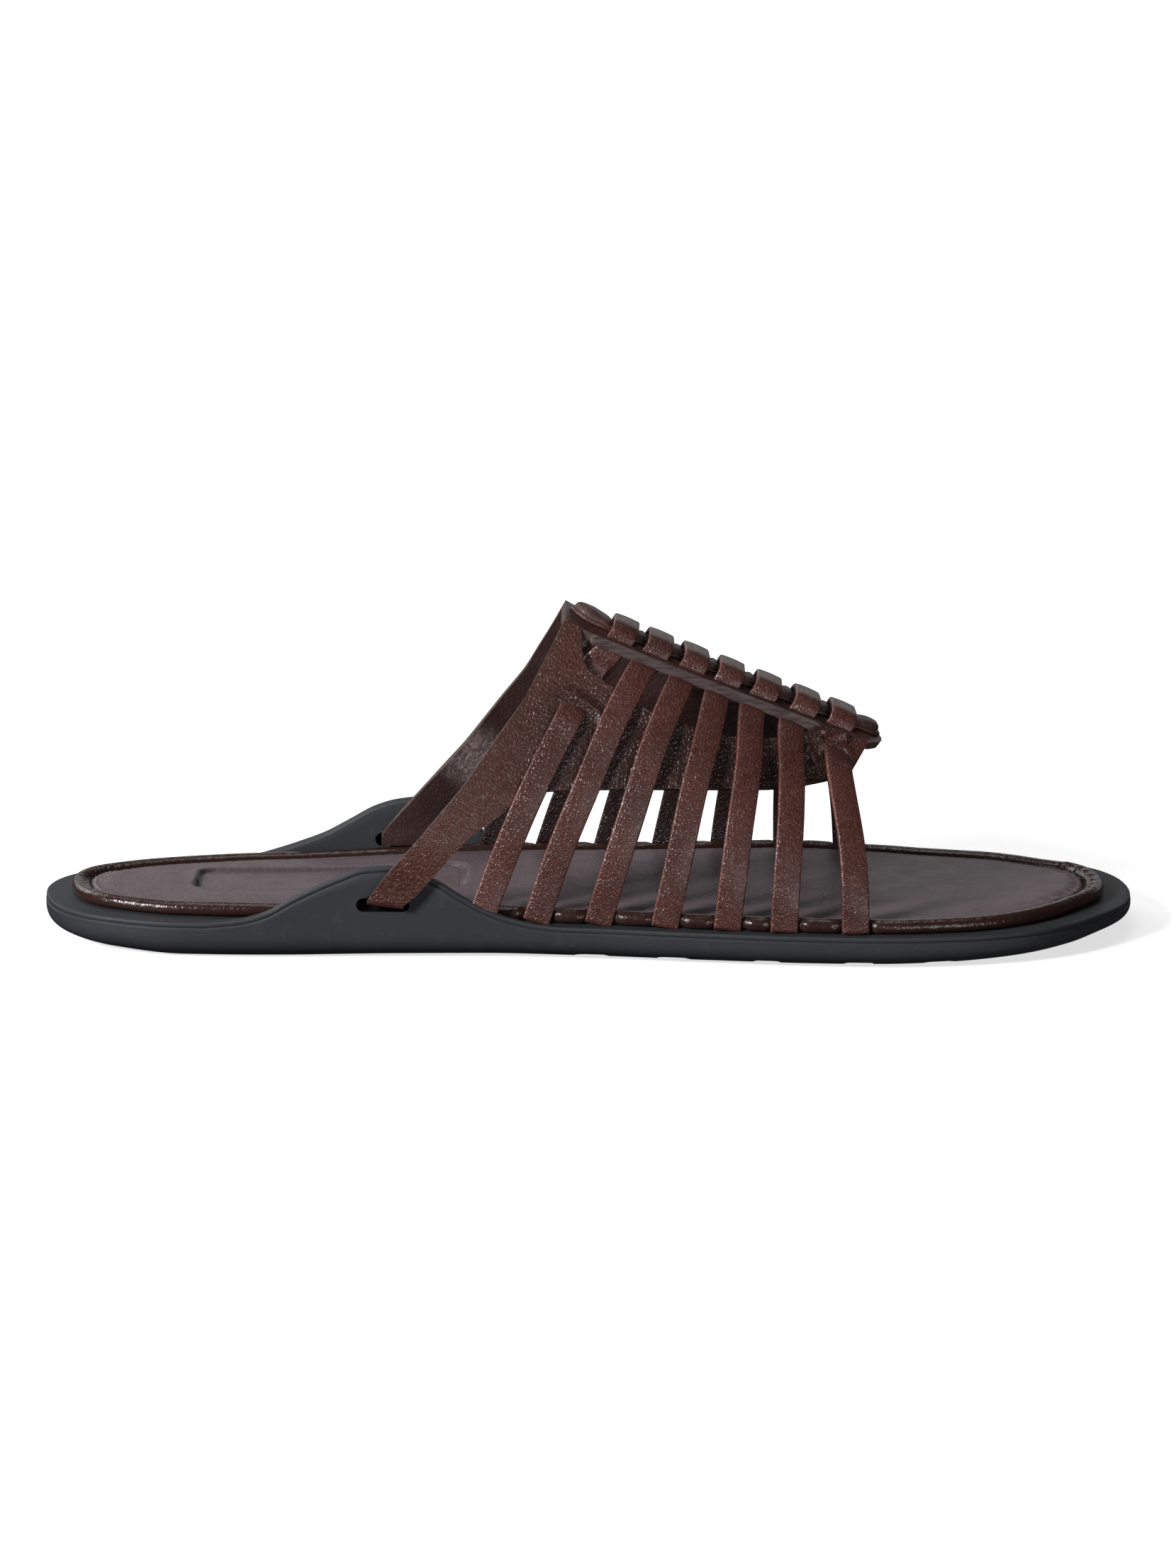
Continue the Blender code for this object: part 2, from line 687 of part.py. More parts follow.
def strap_across(path):
    """Across direction of a strap, square to its path and in line with the ridge at its loop."""
    along = unit(np.gradient(path, axis=0))
    ridge = np.array([math.cos(RIDGE_ANGLE), 0, -math.sin(RIDGE_ANGLE)])
    return ridge - along * np.sum(ridge * along, axis=1)[:, None]


def make_straps(cutters):
    """Seven straps, each from the lateral foot over its loop to the medial foot, and a notch
    for each foot, which is the strap's own end made wider, thicker and longer."""
    straps, notches = [], []
    for number, (loop, lateral, medial, outside) in enumerate(STRAPS, 1):
        near = strap_route(loop, lateral, outside, -1)
        far = strap_route(loop, medial, outside, 1)
        path = smooth_path(near[:0:-1] + far, 0.0045)
        across = strap_across(path)
        name = "strap_%d" % number
        straps.append(ribbon(name, path, across, STRAP_WIDTH, STRAP_WALL, cutters, True))
        for end, inner in ((path[0], path[3]), (path[-1], path[-4])):
            way = (end - inner) * (1 + INSOLE_HEIGHT / np.linalg.norm(end - inner))
            line = np.linspace(inner, inner + way, 4)
            width = STRAP_WIDTH + 2 * NOTCH_MARGIN
            wall = STRAP_WALL + 2 * NOTCH_MARGIN
            notch = ribbon("notch_cutter", line, strap_across(line), width, wall, cutters)
            notches.append(make_cutter(notch))
    return straps, notches


def saddle_at(x, z, side):
    """Point on the saddle's side at a place in the side view."""
    edge_z = plate_z(x, PLATE_HALF_WIDTH)
    return saddle_side(x, side, (edge_z - z) / (edge_z - WALL_HEIGHT))


def make_rear_ends(cutters):
    """Ends of the rear bands: the lateral one lies outside its wing, the medial one inside it,
    and each folds into the wing's slot."""
    ends = []
    share = SLOT_CENTRE_X / SOLE_LENGTH
    off = FIT_GAP + PANEL_WALL / 2
    lateral_face = -(abs(plan_edge(share, -1)) + off)
    medial_face = abs(plan_edge(share, 1)) - WING_WALL - off
    for name, side, face, through in (("lateral", -1, lateral_face, off + WING_WALL),
                                      ("medial", 1, medial_face, off + WING_WALL)):
        route = []
        for back, up in ((0.0092, 0.0106), (0.0062, 0.0070), (0.0034, 0.0034)):
            point = saddle_at(SLOT_CENTRE_X + back, SLOT_CENTRE_Z + up, side)
            point[1] -= side * PANEL_WALL / 2
            route.append(tuple(point))
        route.append((SLOT_CENTRE_X, face, SLOT_CENTRE_Z + LIP_ROUND / 2))
        route.append((SLOT_CENTRE_X, face + 0.4 * through, SLOT_CENTRE_Z))
        route.append((SLOT_CENTRE_X, face + through, SLOT_CENTRE_Z))
        path = smooth_path(route, 0.0020)
        across = np.tile([1.0, 0.0, 0.0], (len(path), 1))
        ends.append(ribbon("rear_end_" + name, path, across, END_STRAP_RUN,
                           0.8 * PANEL_WALL, cutters))
    return ends


def make_spine(collection):
    """Padded strip on the plate, pinched by the loops: a flat base layer and a rounded top."""
    half_run = (RIDGE_RUN - SPINE_REAR_SET_BACK - SPINE_FRONT_SET_BACK) / 2
    half_width = SPINE_WIDTH / 2
    ends = half_width * (1 - np.cos(np.linspace(0, math.pi / 2, 7)))
    along = np.concatenate([ends - half_run, np.linspace(half_width - half_run,
                            half_run - half_width, 38)[1:-1], half_run - ends[::-1]])
    past = np.maximum(np.abs(along) - half_run + half_width, 0) / half_width
    width = half_width * np.sqrt(np.clip(1 - past ** 2, 0, 1))
    flat = np.concatenate([np.stack([along, -width], 1), np.stack([along, width], 1)[-2:0:-1]])
    step = np.roll(flat, -1, 0) - np.roll(flat, 1, 0)
    step /= np.linalg.norm(step, axis=1)[:, None]
    inward = np.stack([-step[:, 1], step[:, 0]], 1)
    centre_x = RIDGE_REAR_X + SPINE_REAR_SET_BACK + half_run
    profile = (
        # inset as a share of the half width, height as a share of the spine's
        (0.40, 0.00),
        (0.00, 0.00),
        (0.00, 0.30),
        (0.12, 0.36),
        (0.14, 0.60),
        (0.30, 0.90),
        (0.60, 1.00),
    )
    loops = np.array([RIDGE_REAR_X + row[0] * RIDGE_RUN for row in STRAPS])
    rings = []
    for inset, height in profile:
        spot = flat + inward * inset * half_width
        x = centre_x + spot[:, 0]
        reach = np.abs(x[:, None] - loops[None, :]) / (0.72 * STRAP_WIDTH)
        pinch = SPINE_PINCH * np.sum(1 / (1 + reach ** 8), axis=1)
        past = np.maximum(loops[0] - x, x - loops[-1]) / STRAP_WIDTH
        swell = SPINE_END_SWELL * np.clip(2 * past - 1.4, 0, 1)
        lift = FIT_GAP + height * (SPINE_HEIGHT - pinch + swell)
        z = plate_z(x, spot[:, 1]) + lift * math.cos(RIDGE_ANGLE)
        rings.append(np.column_stack([x + lift * math.sin(RIDGE_ANGLE), spot[:, 1], z]))
    spine = new_object("spine", *stacked(rings), collection)
    finish("spine_leather", (0.060, 0.030, 0.024), 0.42, spine)
    return spine


def place_origin(model):
    """Hang the sub-parts on an empty that puts the middle of the sole's footprint at zero."""
    edge = Loop(52).points
    low, high = edge.min(axis=0), edge.max(axis=0)
    origin = bpy.data.objects.new("sandal_origin", None)
    origin.location = (-(low[0] + high[0]) / 2, -(low[1] + high[1]) / 2, 0)
    for obj in list(model.objects):
        obj.parent = origin
    model.objects.link(origin)


def main():
    for obj in list(bpy.data.objects):
        bpy.data.objects.remove(obj)
    model = bpy.data.collections.new("slide_sandal")
    cutters = bpy.data.collections.new("cutters")
    bpy.context.scene.collection.children.link(model)
    bpy.context.scene.collection.children.link(cutters)
    make_outsole(model, cutters)
    straps, notches = make_straps(cutters)
    make_insole(model, cutters, notches)
    upper = make_saddle(model, cutters)
    bake_modifiers(upper)
    for piece in straps + make_rear_ends(cutters):
        combine(upper, make_cutter(piece), "UNION", "MANIFOLD")
    bake_modifiers(upper)
    finish("upper_leather", (0.052, 0.022, 0.018), 0.42, upper)
    make_spine(model)
    place_origin(model)


main()
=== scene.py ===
"""Slide sandal: the looks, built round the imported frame. Metres; X to the toe, Z up."""

import math

import bmesh
import bpy
import numpy as np
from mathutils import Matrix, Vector


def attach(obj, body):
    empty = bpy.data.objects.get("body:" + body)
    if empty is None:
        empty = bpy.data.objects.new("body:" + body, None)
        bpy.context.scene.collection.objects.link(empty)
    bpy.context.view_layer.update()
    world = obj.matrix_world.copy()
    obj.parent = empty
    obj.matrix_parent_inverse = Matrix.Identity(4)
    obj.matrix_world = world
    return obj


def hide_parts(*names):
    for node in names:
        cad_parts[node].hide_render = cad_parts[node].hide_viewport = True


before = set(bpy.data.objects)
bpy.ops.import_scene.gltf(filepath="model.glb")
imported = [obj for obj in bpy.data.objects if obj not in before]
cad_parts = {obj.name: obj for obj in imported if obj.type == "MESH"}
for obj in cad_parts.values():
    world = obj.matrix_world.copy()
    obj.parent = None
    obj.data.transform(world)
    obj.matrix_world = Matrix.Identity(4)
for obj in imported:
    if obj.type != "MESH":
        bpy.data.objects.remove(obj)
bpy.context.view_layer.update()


# Outsole: one moulding of charcoal rubber. It has a flat rim round the insole, a bevelled
# step along its upper edge, a wing with a strap slot on each side of the waist and pads
# with cross grooves under the forefoot. Moulded in one shot, matt, with a faint bloom.
SOLE_LENGTH = 0.2695
BALL_HALF_WIDTH = 0.0448
FOOTPRINT_SHIFT = Vector((-SOLE_LENGTH / 2, 0.002353, 0.0))
WALL_HEIGHT = 0.0094
TOE_SPRING = 0.0038
ARCH_RISE = 0.0029
EDGE_TUCK = 0.0058
TUCK_ROUND = 4.4
RIM_WIDTH = 0.0068
WING_RISE_LATERAL = 0.0143
WING_RISE_MEDIAL = 0.0168
WING_WALL = 0.0034
LIP_ROUND = 0.0009
SCORE_DROP = 0.00125
SCORE_DEPTH = 0.00034
SCORE_HALF = 0.00032
SLOT_BACK = 0.0007
SLOT_LENGTH = 0.0129
SLOT_HEIGHT = 0.0034
SLOT_CENTRE_X = 0.0848
SLOT_CENTRE_Z = 0.0139
SLOT_SHIFT_MEDIAL = (0.0022, 0.0012)
GROOVE_WIDTH = 0.0055
GROOVE_DEPTH = 0.0011
GROOVE_SHARES = (0.502, 0.5755, 0.659, 0.742, 0.813)
TREAD_HEIGHT = 0.0003
FIT_GAP = 0.0003

# Share of the length, then the lateral and the medial edge as shares of the ball half width.
PLAN = (
    (0.000, 0.000, 0.000),
    (0.0199, 0.430, 0.335),
    (0.0598, 0.630, 0.505),
    (0.1327, 0.765, 0.660),
    (0.1995, 0.780, 0.712),
    (0.2992, 0.770, 0.705),
    (0.3990, 0.770, 0.680),
    (0.4987, 0.815, 0.700),
    (0.5984, 0.905, 0.780),
    (0.6982, 0.980, 0.870),
    (0.7640, 1.000, 0.895),
    (0.8278, 0.960, 0.855),
    (0.889, 0.850, 0.800),
    (0.939, 0.645, 0.705),
    (0.965, 0.460, 0.640),
    (0.990, 0.235, 0.425),
    (1.000, -0.090, 0.090),
)

# Share of the length, rim height, lift of the underside, tuck of the lower edge, distance
# from the lateral edge to the insole, rise of the medial rim, and distance from the medial
# edge to the insole, each as a share of its own named size.
EDGE = (
    (0.000, 1.02, 0.50, 0.80, 0.95, 0.00, 0.95),
    (0.060, 1.00, 0.12, 1.00, 0.98, 0.00, 0.98),
    (0.133, 0.99, 0.00, 0.90, 0.95, 0.00, 0.95),
    (0.230, 0.97, 0.00, 0.85, 0.80, 0.10, 0.80),
    (0.330, 0.95, 0.03, 0.95, 0.64, 0.60, 0.64),
    (0.420, 0.93, 0.04, 0.97, 0.62, 1.00, 0.62),
    (0.480, 0.91, 0.02, 0.96, 0.46, 1.00, 0.46),
    (0.600, 0.885, 0.00, 1.00, 0.42, 0.80, 0.42),
    (0.690, 0.875, 0.00, 1.00, 0.42, 0.62, 0.42),
    (0.770, 0.868, 0.02, 1.00, 0.44, 0.18, 0.44),
    (0.820, 0.860, 0.07, 0.95, 0.50, 0.03, 0.50),
    (0.867, 0.850, 0.16, 0.90, 0.60, 0.00, 0.60),
    (0.910, 0.850, 0.30, 0.80, 0.80, 0.00, 0.92),
    (0.960, 0.855, 0.56, 0.62, 0.95, 0.00, 1.35),
    (1.000, 0.870, 0.90, 0.45, 1.00, 0.00, 1.00),
)

# Share of the length, rise of the lateral and of the medial wing as shares of their own.
WINGS = (
    (0.000, 0.00, 0.00),
    (0.1496, 0.00, 0.00),
    (0.1696, 0.03, 0.03),
    (0.1895, 0.08, 0.10),
    (0.2105, 0.20, 0.20),
    (0.2304, 0.41, 0.31),
    (0.2513, 0.61, 0.44),
    (0.2743, 0.80, 0.64),
    (0.2992, 0.97, 0.86),
    (0.3192, 1.00, 0.96),
    (0.3391, 0.93, 1.00),
    (0.3611, 0.77, 0.95),
    (0.3840, 0.50, 0.74),
    (0.4039, 0.29, 0.46),
    (0.4289, 0.12, 0.19),
    (0.4538, 0.03, 0.05),
    (0.4788, 0.00, 0.00),
    (1.000, 0.00, 0.00),
)

# Share of the length, thickness of the wing's wall as a share of its own.
WING_THICKNESS = (
    (0.00, 1.00),
    (0.40, 1.00),
    (0.43, 0.70),
    (0.46, 0.40),
    (1.00, 0.40),
)


def curve(table, column, at):
    """Cubic pieces through a table's column, with harmonic mean slopes, level at a turn."""
    rows = np.array(table)
    x, y = rows[:, 0], rows[:, column]
    step = np.diff(y) / np.diff(x)
    same_way = step[:-1] * step[1:] > 0
    total = np.where(same_way, step[:-1] + step[1:], 1.0)
    inner = np.where(same_way, 2 * step[:-1] * step[1:] / total, 0.0)
    slope = np.concatenate([step[:1], inner, step[-1:]])
    at = np.clip(np.asarray(at, float), x[0], x[-1])
    i = np.clip(np.searchsorted(x, at, side="right") - 1, 0, len(x) - 2)
    h = x[i + 1] - x[i]
    s = (at - x[i]) / h
    left = (1 + 2 * s) * (1 - s) ** 2 * y[i] + s * (1 - s) ** 2 * h * slope[i]
    right = s * s * (3 - 2 * s) * y[i + 1] - s * s * (1 - s) * h * slope[i + 1]
    return left + right


def turn(share):
    """Angle whose cosine falls from 1 at the heel to -1 at the toe."""
    return np.arccos(np.clip(1 - 2 * np.asarray(share, float), -1, 1))


PLAN_BY_TURN = tuple((float(turn(row[0])), row[1], row[2]) for row in PLAN)


def plan_edge(share, side):
    """Y of the sole's edge; side is -1 lateral or 1 medial."""
    return side * BALL_HALF_WIDTH * curve(PLAN_BY_TURN, 1 if side < 0 else 2, turn(share))


def smooth_step(value, low, high):
    """0 below low, 1 above high and a smooth cubic between them."""
    s = np.clip((value - low) / (high - low), 0, 1)
    return s * s * (3 - 2 * s)


class SoleOutline:
    """The sole's edge as a closed loop: points, inward normals, share and length along it."""

    def __init__(self, half_count):
        angle = np.linspace(0, math.pi, half_count + 1)
        share = (1 - np.cos(angle)) / 2
        lateral = np.stack([share * SOLE_LENGTH, plan_edge(share, -1)], 1)
        medial = np.stack([share * SOLE_LENGTH, plan_edge(share, 1)], 1)
        self.half = half_count
        self.points = np.concatenate([lateral, medial[-2:0:-1]])
        self.share = np.concatenate([share, share[-2:0:-1]])
        self.medial = np.arange(len(self.points)) > half_count
        ahead = np.roll(self.points, -1, 0)
        along = ahead - np.roll(self.points, 1, 0)
        along /= np.linalg.norm(along, axis=1)[:, None]
        self.inward = np.stack([-along[:, 1], along[:, 0]], 1)
        self.length = np.cumsum(np.linalg.norm(ahead - self.points, axis=1))

    def ring(self, inset, height):
        """Points moved inwards by inset, at height."""
        count = len(self.points)
        flat = self.points + self.inward * np.broadcast_to(inset, count)[:, None]
        return np.column_stack([flat, np.broadcast_to(height, count)])

    def fill(self, ring, steps, end_share=0.10):
        """Rings from an edge ring to the middle line, as straight blends of the two."""
        half = self.half
        span = ring[half, 0] - ring[0, 0]
        place = (1 - np.cos(np.linspace(0, math.pi, half + 1))) / 2
        x = ring[0, 0] + span * (end_share + (1 - 2 * end_share) * place)
        middle = np.concatenate([ring[:1], (ring[1:half] + ring[:half:-1]) / 2, ring[half:half + 1]])
        y = np.interp(x, middle[:, 0], middle[:, 1])
        z = np.interp(x, middle[:, 0], middle[:, 2])
        line = np.stack([x, y, z], 1)
        around = np.concatenate([line, line[-2:0:-1]])
        blend = np.linspace(0, 1, steps + 1)[1:, None, None]
        return list(ring[None] * (1 - blend) + around[None] * blend)


def grid_faces(rows, columns, closed):
    """Quads of a grid whose rows run along the first axis; closed joins the last column."""
    across = columns if closed else columns - 1
    i, j = np.meshgrid(np.arange(rows - 1), np.arange(across), indexing="ij")
    k = (j + 1) % columns
    corners = (i * columns + j, i * columns + k, (i + 1) * columns + k, (i + 1) * columns + j)
    return np.stack(corners, -1).reshape(-1, 4)


def lay(name, points, faces, merge=2e-6, **marks):
    """A mesh object from points in the heel's own frame, its doubles merged. Marks are named
    values at each point that a finish can read."""
    mesh = bpy.data.meshes.new(name)
    points = np.asarray(points, float).reshape(-1, 3) + np.array(FOOTPRINT_SHIFT)
    mesh.from_pydata([], [], [])
    mesh.vertices.add(len(points))
    mesh.vertices.foreach_set("co", points.astype(np.float32).ravel())
    faces = np.asarray(faces, np.int32)
    mesh.loops.add(faces.size)
    mesh.loops.foreach_set("vertex_index", faces.ravel())
    mesh.polygons.add(len(faces))
    mesh.polygons.foreach_set("loop_start", np.arange(len(faces), dtype=np.int32) * faces.shape[1])
    mesh.update(calc_edges=True)
    for mark, values in marks.items():
        layer = mesh.attributes.new(mark, "FLOAT", "POINT")
        layer.data.foreach_set("value", np.asarray(values, np.float32).ravel())
    obj = bpy.data.objects.new(name, mesh)
    bpy.context.scene.collection.objects.link(obj)
    shape = bmesh.new()
    shape.from_mesh(mesh)
    bmesh.ops.remove_doubles(shape, verts=shape.verts, dist=merge)
    bmesh.ops.dissolve_degenerate(shape, edges=shape.edges, dist=merge / 2)
    bmesh.ops.recalc_face_normals(shape, faces=shape.faces)
    shape.to_mesh(mesh)
    shape.free()
    mesh.shade_smooth()
    return obj


def apply_modifiers(obj):
    """The object's mesh becomes its modified one."""
    bpy.context.view_layer.update()
    graph = bpy.context.evaluated_depsgraph_get()
    mesh = bpy.data.meshes.new_from_object(obj.evaluated_get(graph))
    obj.modifiers.clear()
    obj.data = mesh
    return obj


class Value:
    """A socket in a finish's maths: each operator adds the Math node that works it out."""

    def __init__(self, finish, socket):
        self.finish, self.socket = finish, socket

    def maths(self, operation, *operands, clamp=False):
        settings = {"operation": operation, "use_clamp": clamp}
        node = self.finish.node("ShaderNodeMath", settings, dict(enumerate(operands)))
        return Value(self.finish, node.outputs[0])

    def __add__(self, other):
        return self.maths("ADD", self, other)

    def __sub__(self, other):
        return self.maths("SUBTRACT", self, other)

    def __rsub__(self, other):
        return self.maths("SUBTRACT", other, self)

    def __mul__(self, other):
        return self.maths("MULTIPLY", self, other)

    def __truediv__(self, other):
        return self.maths("DIVIDE", self, other)

    def __rtruediv__(self, other):
        return self.maths("DIVIDE", other, self)

    def __pow__(self, other):
        return self.maths("POWER", self, other)

    __radd__ = __add__
    __rmul__ = __mul__

    def held(self):
        """Kept from 0 to 1."""
        return self.maths("ADD", self, 0.0, clamp=True)

    def above(self, low, high):
        """0 below low, 1 above high, smooth between."""
        settings = {"interpolation_type": "SMOOTHSTEP"}
        sockets = {0: self, 1: low, 2: high, 3: 0.0, 4: 1.0}
        node = self.finish.node("ShaderNodeMapRange", settings, sockets)
        return Value(self.finish, node.outputs[0])


class Finish:
    """A surface finish: one material, its nodes and the maths between them."""

    def __init__(self, name, roughness=0.5, specular=0.5, **constants):
        self.material = bpy.data.materials.new(name)
        self.material.use_nodes = True
        self.tree = self.material.node_tree
        self.shader = self.tree.nodes["Principled BSDF"]
        self.shader.inputs["Roughness"].default_value = roughness
        self.shader.inputs["Specular IOR Level"].default_value = specular
        for socket, value in constants.items():
            self.shader.inputs[socket.replace("_", " ")].default_value = value
        self.place = self.node("ShaderNodeTexCoord").outputs["Object"]

    def node(self, kind, settings=None, sockets=None):
        """A node of this kind: its settings first, then its sockets' values or links."""
        node = self.tree.nodes.new(kind)
        for setting, value in (settings or {}).items():
            setattr(node, setting, value)
        for socket, value in (sockets or {}).items():
            self.feed(node.inputs[socket], value)
        return node

    def feed(self, socket, value):
        if isinstance(value, Value):
            value = value.socket
        if isinstance(value, bpy.types.NodeSocket):
            self.tree.links.new(value, socket)
        else:
            socket.default_value = value

    def noise(self, scale, detail=3.0, rough=0.55, place=None, warp=0.0):
        sockets = {"Vector": place or self.place, "Scale": scale, "Detail": detail,
                   "Roughness": rough, "Distortion": warp}
        return Value(self, self.node("ShaderNodeTexNoise", None, sockets).outputs["Fac"])

    def cells(self, scale, feature="F1", place=None, output="Distance", smooth=None):
        settings = {"feature": feature}
        sockets = {"Vector": place or self.place, "Scale": scale}
        if smooth is not None:
            sockets["Smoothness"] = smooth
        return Value(self, self.node("ShaderNodeTexVoronoi", settings, sockets).outputs[output])

    def stretched(self, scale, turned=(0.0, 0.0, 0.0)):
        """The place, scaled along each axis and turned, so that a grain runs one way."""
        sockets = {"Vector": self.place, "Scale": scale, "Rotation": turned}
        return self.node("ShaderNodeMapping", None, sockets).outputs[0]

    def attribute(self, name):
        node = self.node("ShaderNodeAttribute", {"attribute_name": name})
        return Value(self, node.outputs["Fac"])

    def placed(self):
        """Distance from the back of the heel, and height."""
        split = self.node("ShaderNodeSeparateXYZ", None, {0: self.place}).outputs
        return Value(self, split[0]) - FOOTPRINT_SHIFT.x, Value(self, split[2])

    def mix(self, factor, first, second):
        """A colour between two, by a value."""
        node = self.node("ShaderNodeMix", {"data_type": "RGBA"})
        self.feed(node.inputs[0], factor)
        for socket, colour in ((6, first), (7, second)):
            self.feed(node.inputs[socket], (*colour, 1.0) if isinstance(colour, tuple) else colour)
        return node.outputs[2]

    def bump(self, height, distance, under=None):
        sockets = {"Height": height, "Distance": distance, "Strength": 1.0}
        if under is not None:
            sockets["Normal"] = under
        return self.node("ShaderNodeBump", None, sockets).outputs[0]

    def set(self, socket, value):
        self.feed(self.shader.inputs[socket], value)


rubber = Finish("outsole_rubber", roughness=0.5, specular=0.4)
bloom = rubber.noise(38.0, 4.0, 0.6)
speck = rubber.noise(2600.0, 2.0, 0.7)
scuff = rubber.noise(260.0, 3.0, 0.6).above(0.56, 0.74)
rubber_tone = rubber.mix(bloom, (0.0215, 0.0230, 0.0275), (0.0310, 0.0325, 0.0375))
rubber.set("Base Color", rubber.mix(scuff * 0.35, rubber_tone, (0.050, 0.051, 0.056)))
rubber.set("Roughness", 0.47 + bloom * 0.12 + speck * 0.08)
rubber.set("Normal", rubber.bump(speck * 0.8 + scuff * 0.2, 0.00004))


def rim_height(share, medial):
    """Height of the outsole's rim above the floor."""
    return WALL_HEIGHT * curve(EDGE, 1, share) + medial * ARCH_RISE * curve(EDGE, 5, share)


def outsole_surface(outline):
    """Rings from the underside's middle out, up the side, over the lip or wing and in again."""
    share = outline.share
    rim = rim_height(share, outline.medial)
    arch = ARCH_RISE * curve(EDGE, 5, share)
    lateral_rise = WING_RISE_LATERAL * curve(WINGS, 1, share)
    medial_rise = WING_RISE_MEDIAL * curve(WINGS, 2, share) - arch
    rise = np.maximum(np.where(outline.medial, medial_rise, lateral_rise), 0)
    under = TREAD_HEIGHT + TOE_SPRING * curve(EDGE, 2, share)
    tuck = EDGE_TUCK * curve(EDGE, 3, share)
    wall = WING_WALL * curve(WING_THICKNESS, 1, share)
    lip = np.minimum(LIP_ROUND, wall / 3)
    top = rim + rise
    score = top - SCORE_DROP
    rings = outline.fill(outline.ring(tuck, under), 16)[::-1]
    bend = 0.78
    for w in np.linspace(0, 1, 13) ** 1.5 * bend:
        rings.append(outline.ring(tuck * (1 - w) ** TUCK_ROUND, under + (rim - SCORE_DROP - under) * w))
    low = under + (rim - SCORE_DROP - under) * bend
    leftover = tuck * (1 - bend) ** TUCK_ROUND
    for w in (0.15, 0.3, 0.45, 0.6, 0.75, 0.88):
        rings.append(outline.ring(leftover * (1 - w), low + (score - SCORE_HALF - low) * w))
    for deep, up in ((0.0, -1.0), (0.10, -0.8), (0.75, -0.35), (1.0, 0.0), (0.9, 0.35), (0.5, 0.8),
                     (0.42, 1.1)):
        rings.append(outline.ring(SCORE_DEPTH * deep, score + SCORE_HALF * up))
    for inset, drop in ((0.16, 0.60), (0.18, 0.40), (0.24, 0.22), (0.38, 0.08), (0.60, 0.01),
                        (0.9, -0.02)):
        rings.append(outline.ring(LIP_ROUND * inset, top - LIP_ROUND * drop))
    for share_in in (0.45, 0.75):
        rings.append(outline.ring(wall * share_in, top))
    fall = np.minimum(rise, lip)
    for angle in np.radians((0, 30, 60, 90)):
        inset = wall - lip * (1 - math.sin(angle))
        rings.append(outline.ring(inset, top - fall * (1 - math.cos(angle))))
    for w in (0.25, 0.5, 0.75, 1.0):
        rings.append(outline.ring(wall, top - fall + (rim - top + fall) * w * 0.94))
    for inset, rest in ((0.15, 0.03), (0.45, 0.0), (1.0, 0.0)):
        rings.append(outline.ring(wall + lip * inset, rim + (rise > 0) * rise * rest))
    inner = outline.ring(tuck + RIM_WIDTH, rim)
    rings += [inner] + outline.fill(inner, 3)
    return np.array(rings)


def slot_cutter(side):
    """Rounded bar across one wing that stops short of the face that isn't seen in use."""
    quarter = np.linspace(-math.pi / 2, math.pi / 2, 9)
    x = SLOT_LENGTH / 2 - SLOT_HEIGHT / 2 * (1 - np.cos(quarter))
    z = SLOT_HEIGHT / 2 * np.sin(quarter)
    bar = np.stack([np.concatenate([x, -x[::-1]]), np.concatenate([z, z[::-1]])], 1)
    bar += (SLOT_CENTRE_X, SLOT_CENTRE_Z) + (side > 0) * np.array(SLOT_SHIFT_MEDIAL)
    edge = abs(float(plan_edge(SLOT_CENTRE_X / SOLE_LENGTH, side)))
    if side < 0:
        start, end = -edge - WING_WALL, -edge + WING_WALL - SLOT_BACK
    else:
        start, end = edge - 2 * WING_WALL, edge - SLOT_BACK
    ends = [np.insert(bar, 1, y, axis=1) for y in (start, end)]
    caps = [np.tile(ring.mean(0), (len(bar), 1)) for ring in ends]
    skin = [caps[0], ends[0], ends[1], caps[1]]
    return lay("slot_cutter", skin, grid_faces(4, len(bar), True))


outline = SoleOutline(300)
rings = outsole_surface(outline)
groove_top = TREAD_HEIGHT + GROOVE_DEPTH
low_part = smooth_step(rings[..., 2], groove_top * 1.6, groove_top)
for groove in GROOVE_SHARES:
    off = np.abs(rings[..., 0] - groove * SOLE_LENGTH)
    inside = smooth_step(off, GROOVE_WIDTH / 2 + 0.0005, GROOVE_WIDTH / 2 - 0.0003) * low_part
    rings[..., 2] += inside * np.maximum(groove_top - rings[..., 2], 0)
outsole = lay("outsole_moulding", rings, grid_faces(len(rings), rings.shape[1], True))
outsole.data.materials.append(rubber.material)
# The slot's cut faces get a near-black rubber: painted shade for the dark inside of the slot.
slot_shade = Finish("slot_shade", roughness=0.8, specular=0.1)
slot_shade_tone = slot_shade.mix(slot_shade.noise(900.0), (0.002, 0.002, 0.0025), (0.005, 0.005, 0.006))
slot_shade.set("Base Color", slot_shade_tone)
for side in (-1, 1):
    slot = slot_cutter(side)
    slot.data.materials.append(slot_shade.material)
    cut = outsole.modifiers.new("slot", "BOOLEAN")
    cut.operation, cut.solver, cut.object = "DIFFERENCE", "EXACT", slot
    cut.material_mode = "TRANSFER"
    apply_modifiers(outsole)
    bpy.data.objects.remove(slot)
outsole.data.shade_smooth()
outsole.data.set_sharp_from_angle(angle=math.radians(40))
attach(outsole, "root")
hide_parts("outsole")


# Treads: two flat blocks that the sole stands on, one under the heel and one under the ball,
# moulded with it. Fine wavy ribs run across them.
TREADS = (
    (0.10, 0.27, 0.50, 0.42, 0.54, 0.46),
    (0.47, 0.72, 0.60, 0.50, 0.74, 0.66),
)
TREAD_ROOT = 0.0022
TREAD_BEVEL = 0.0005


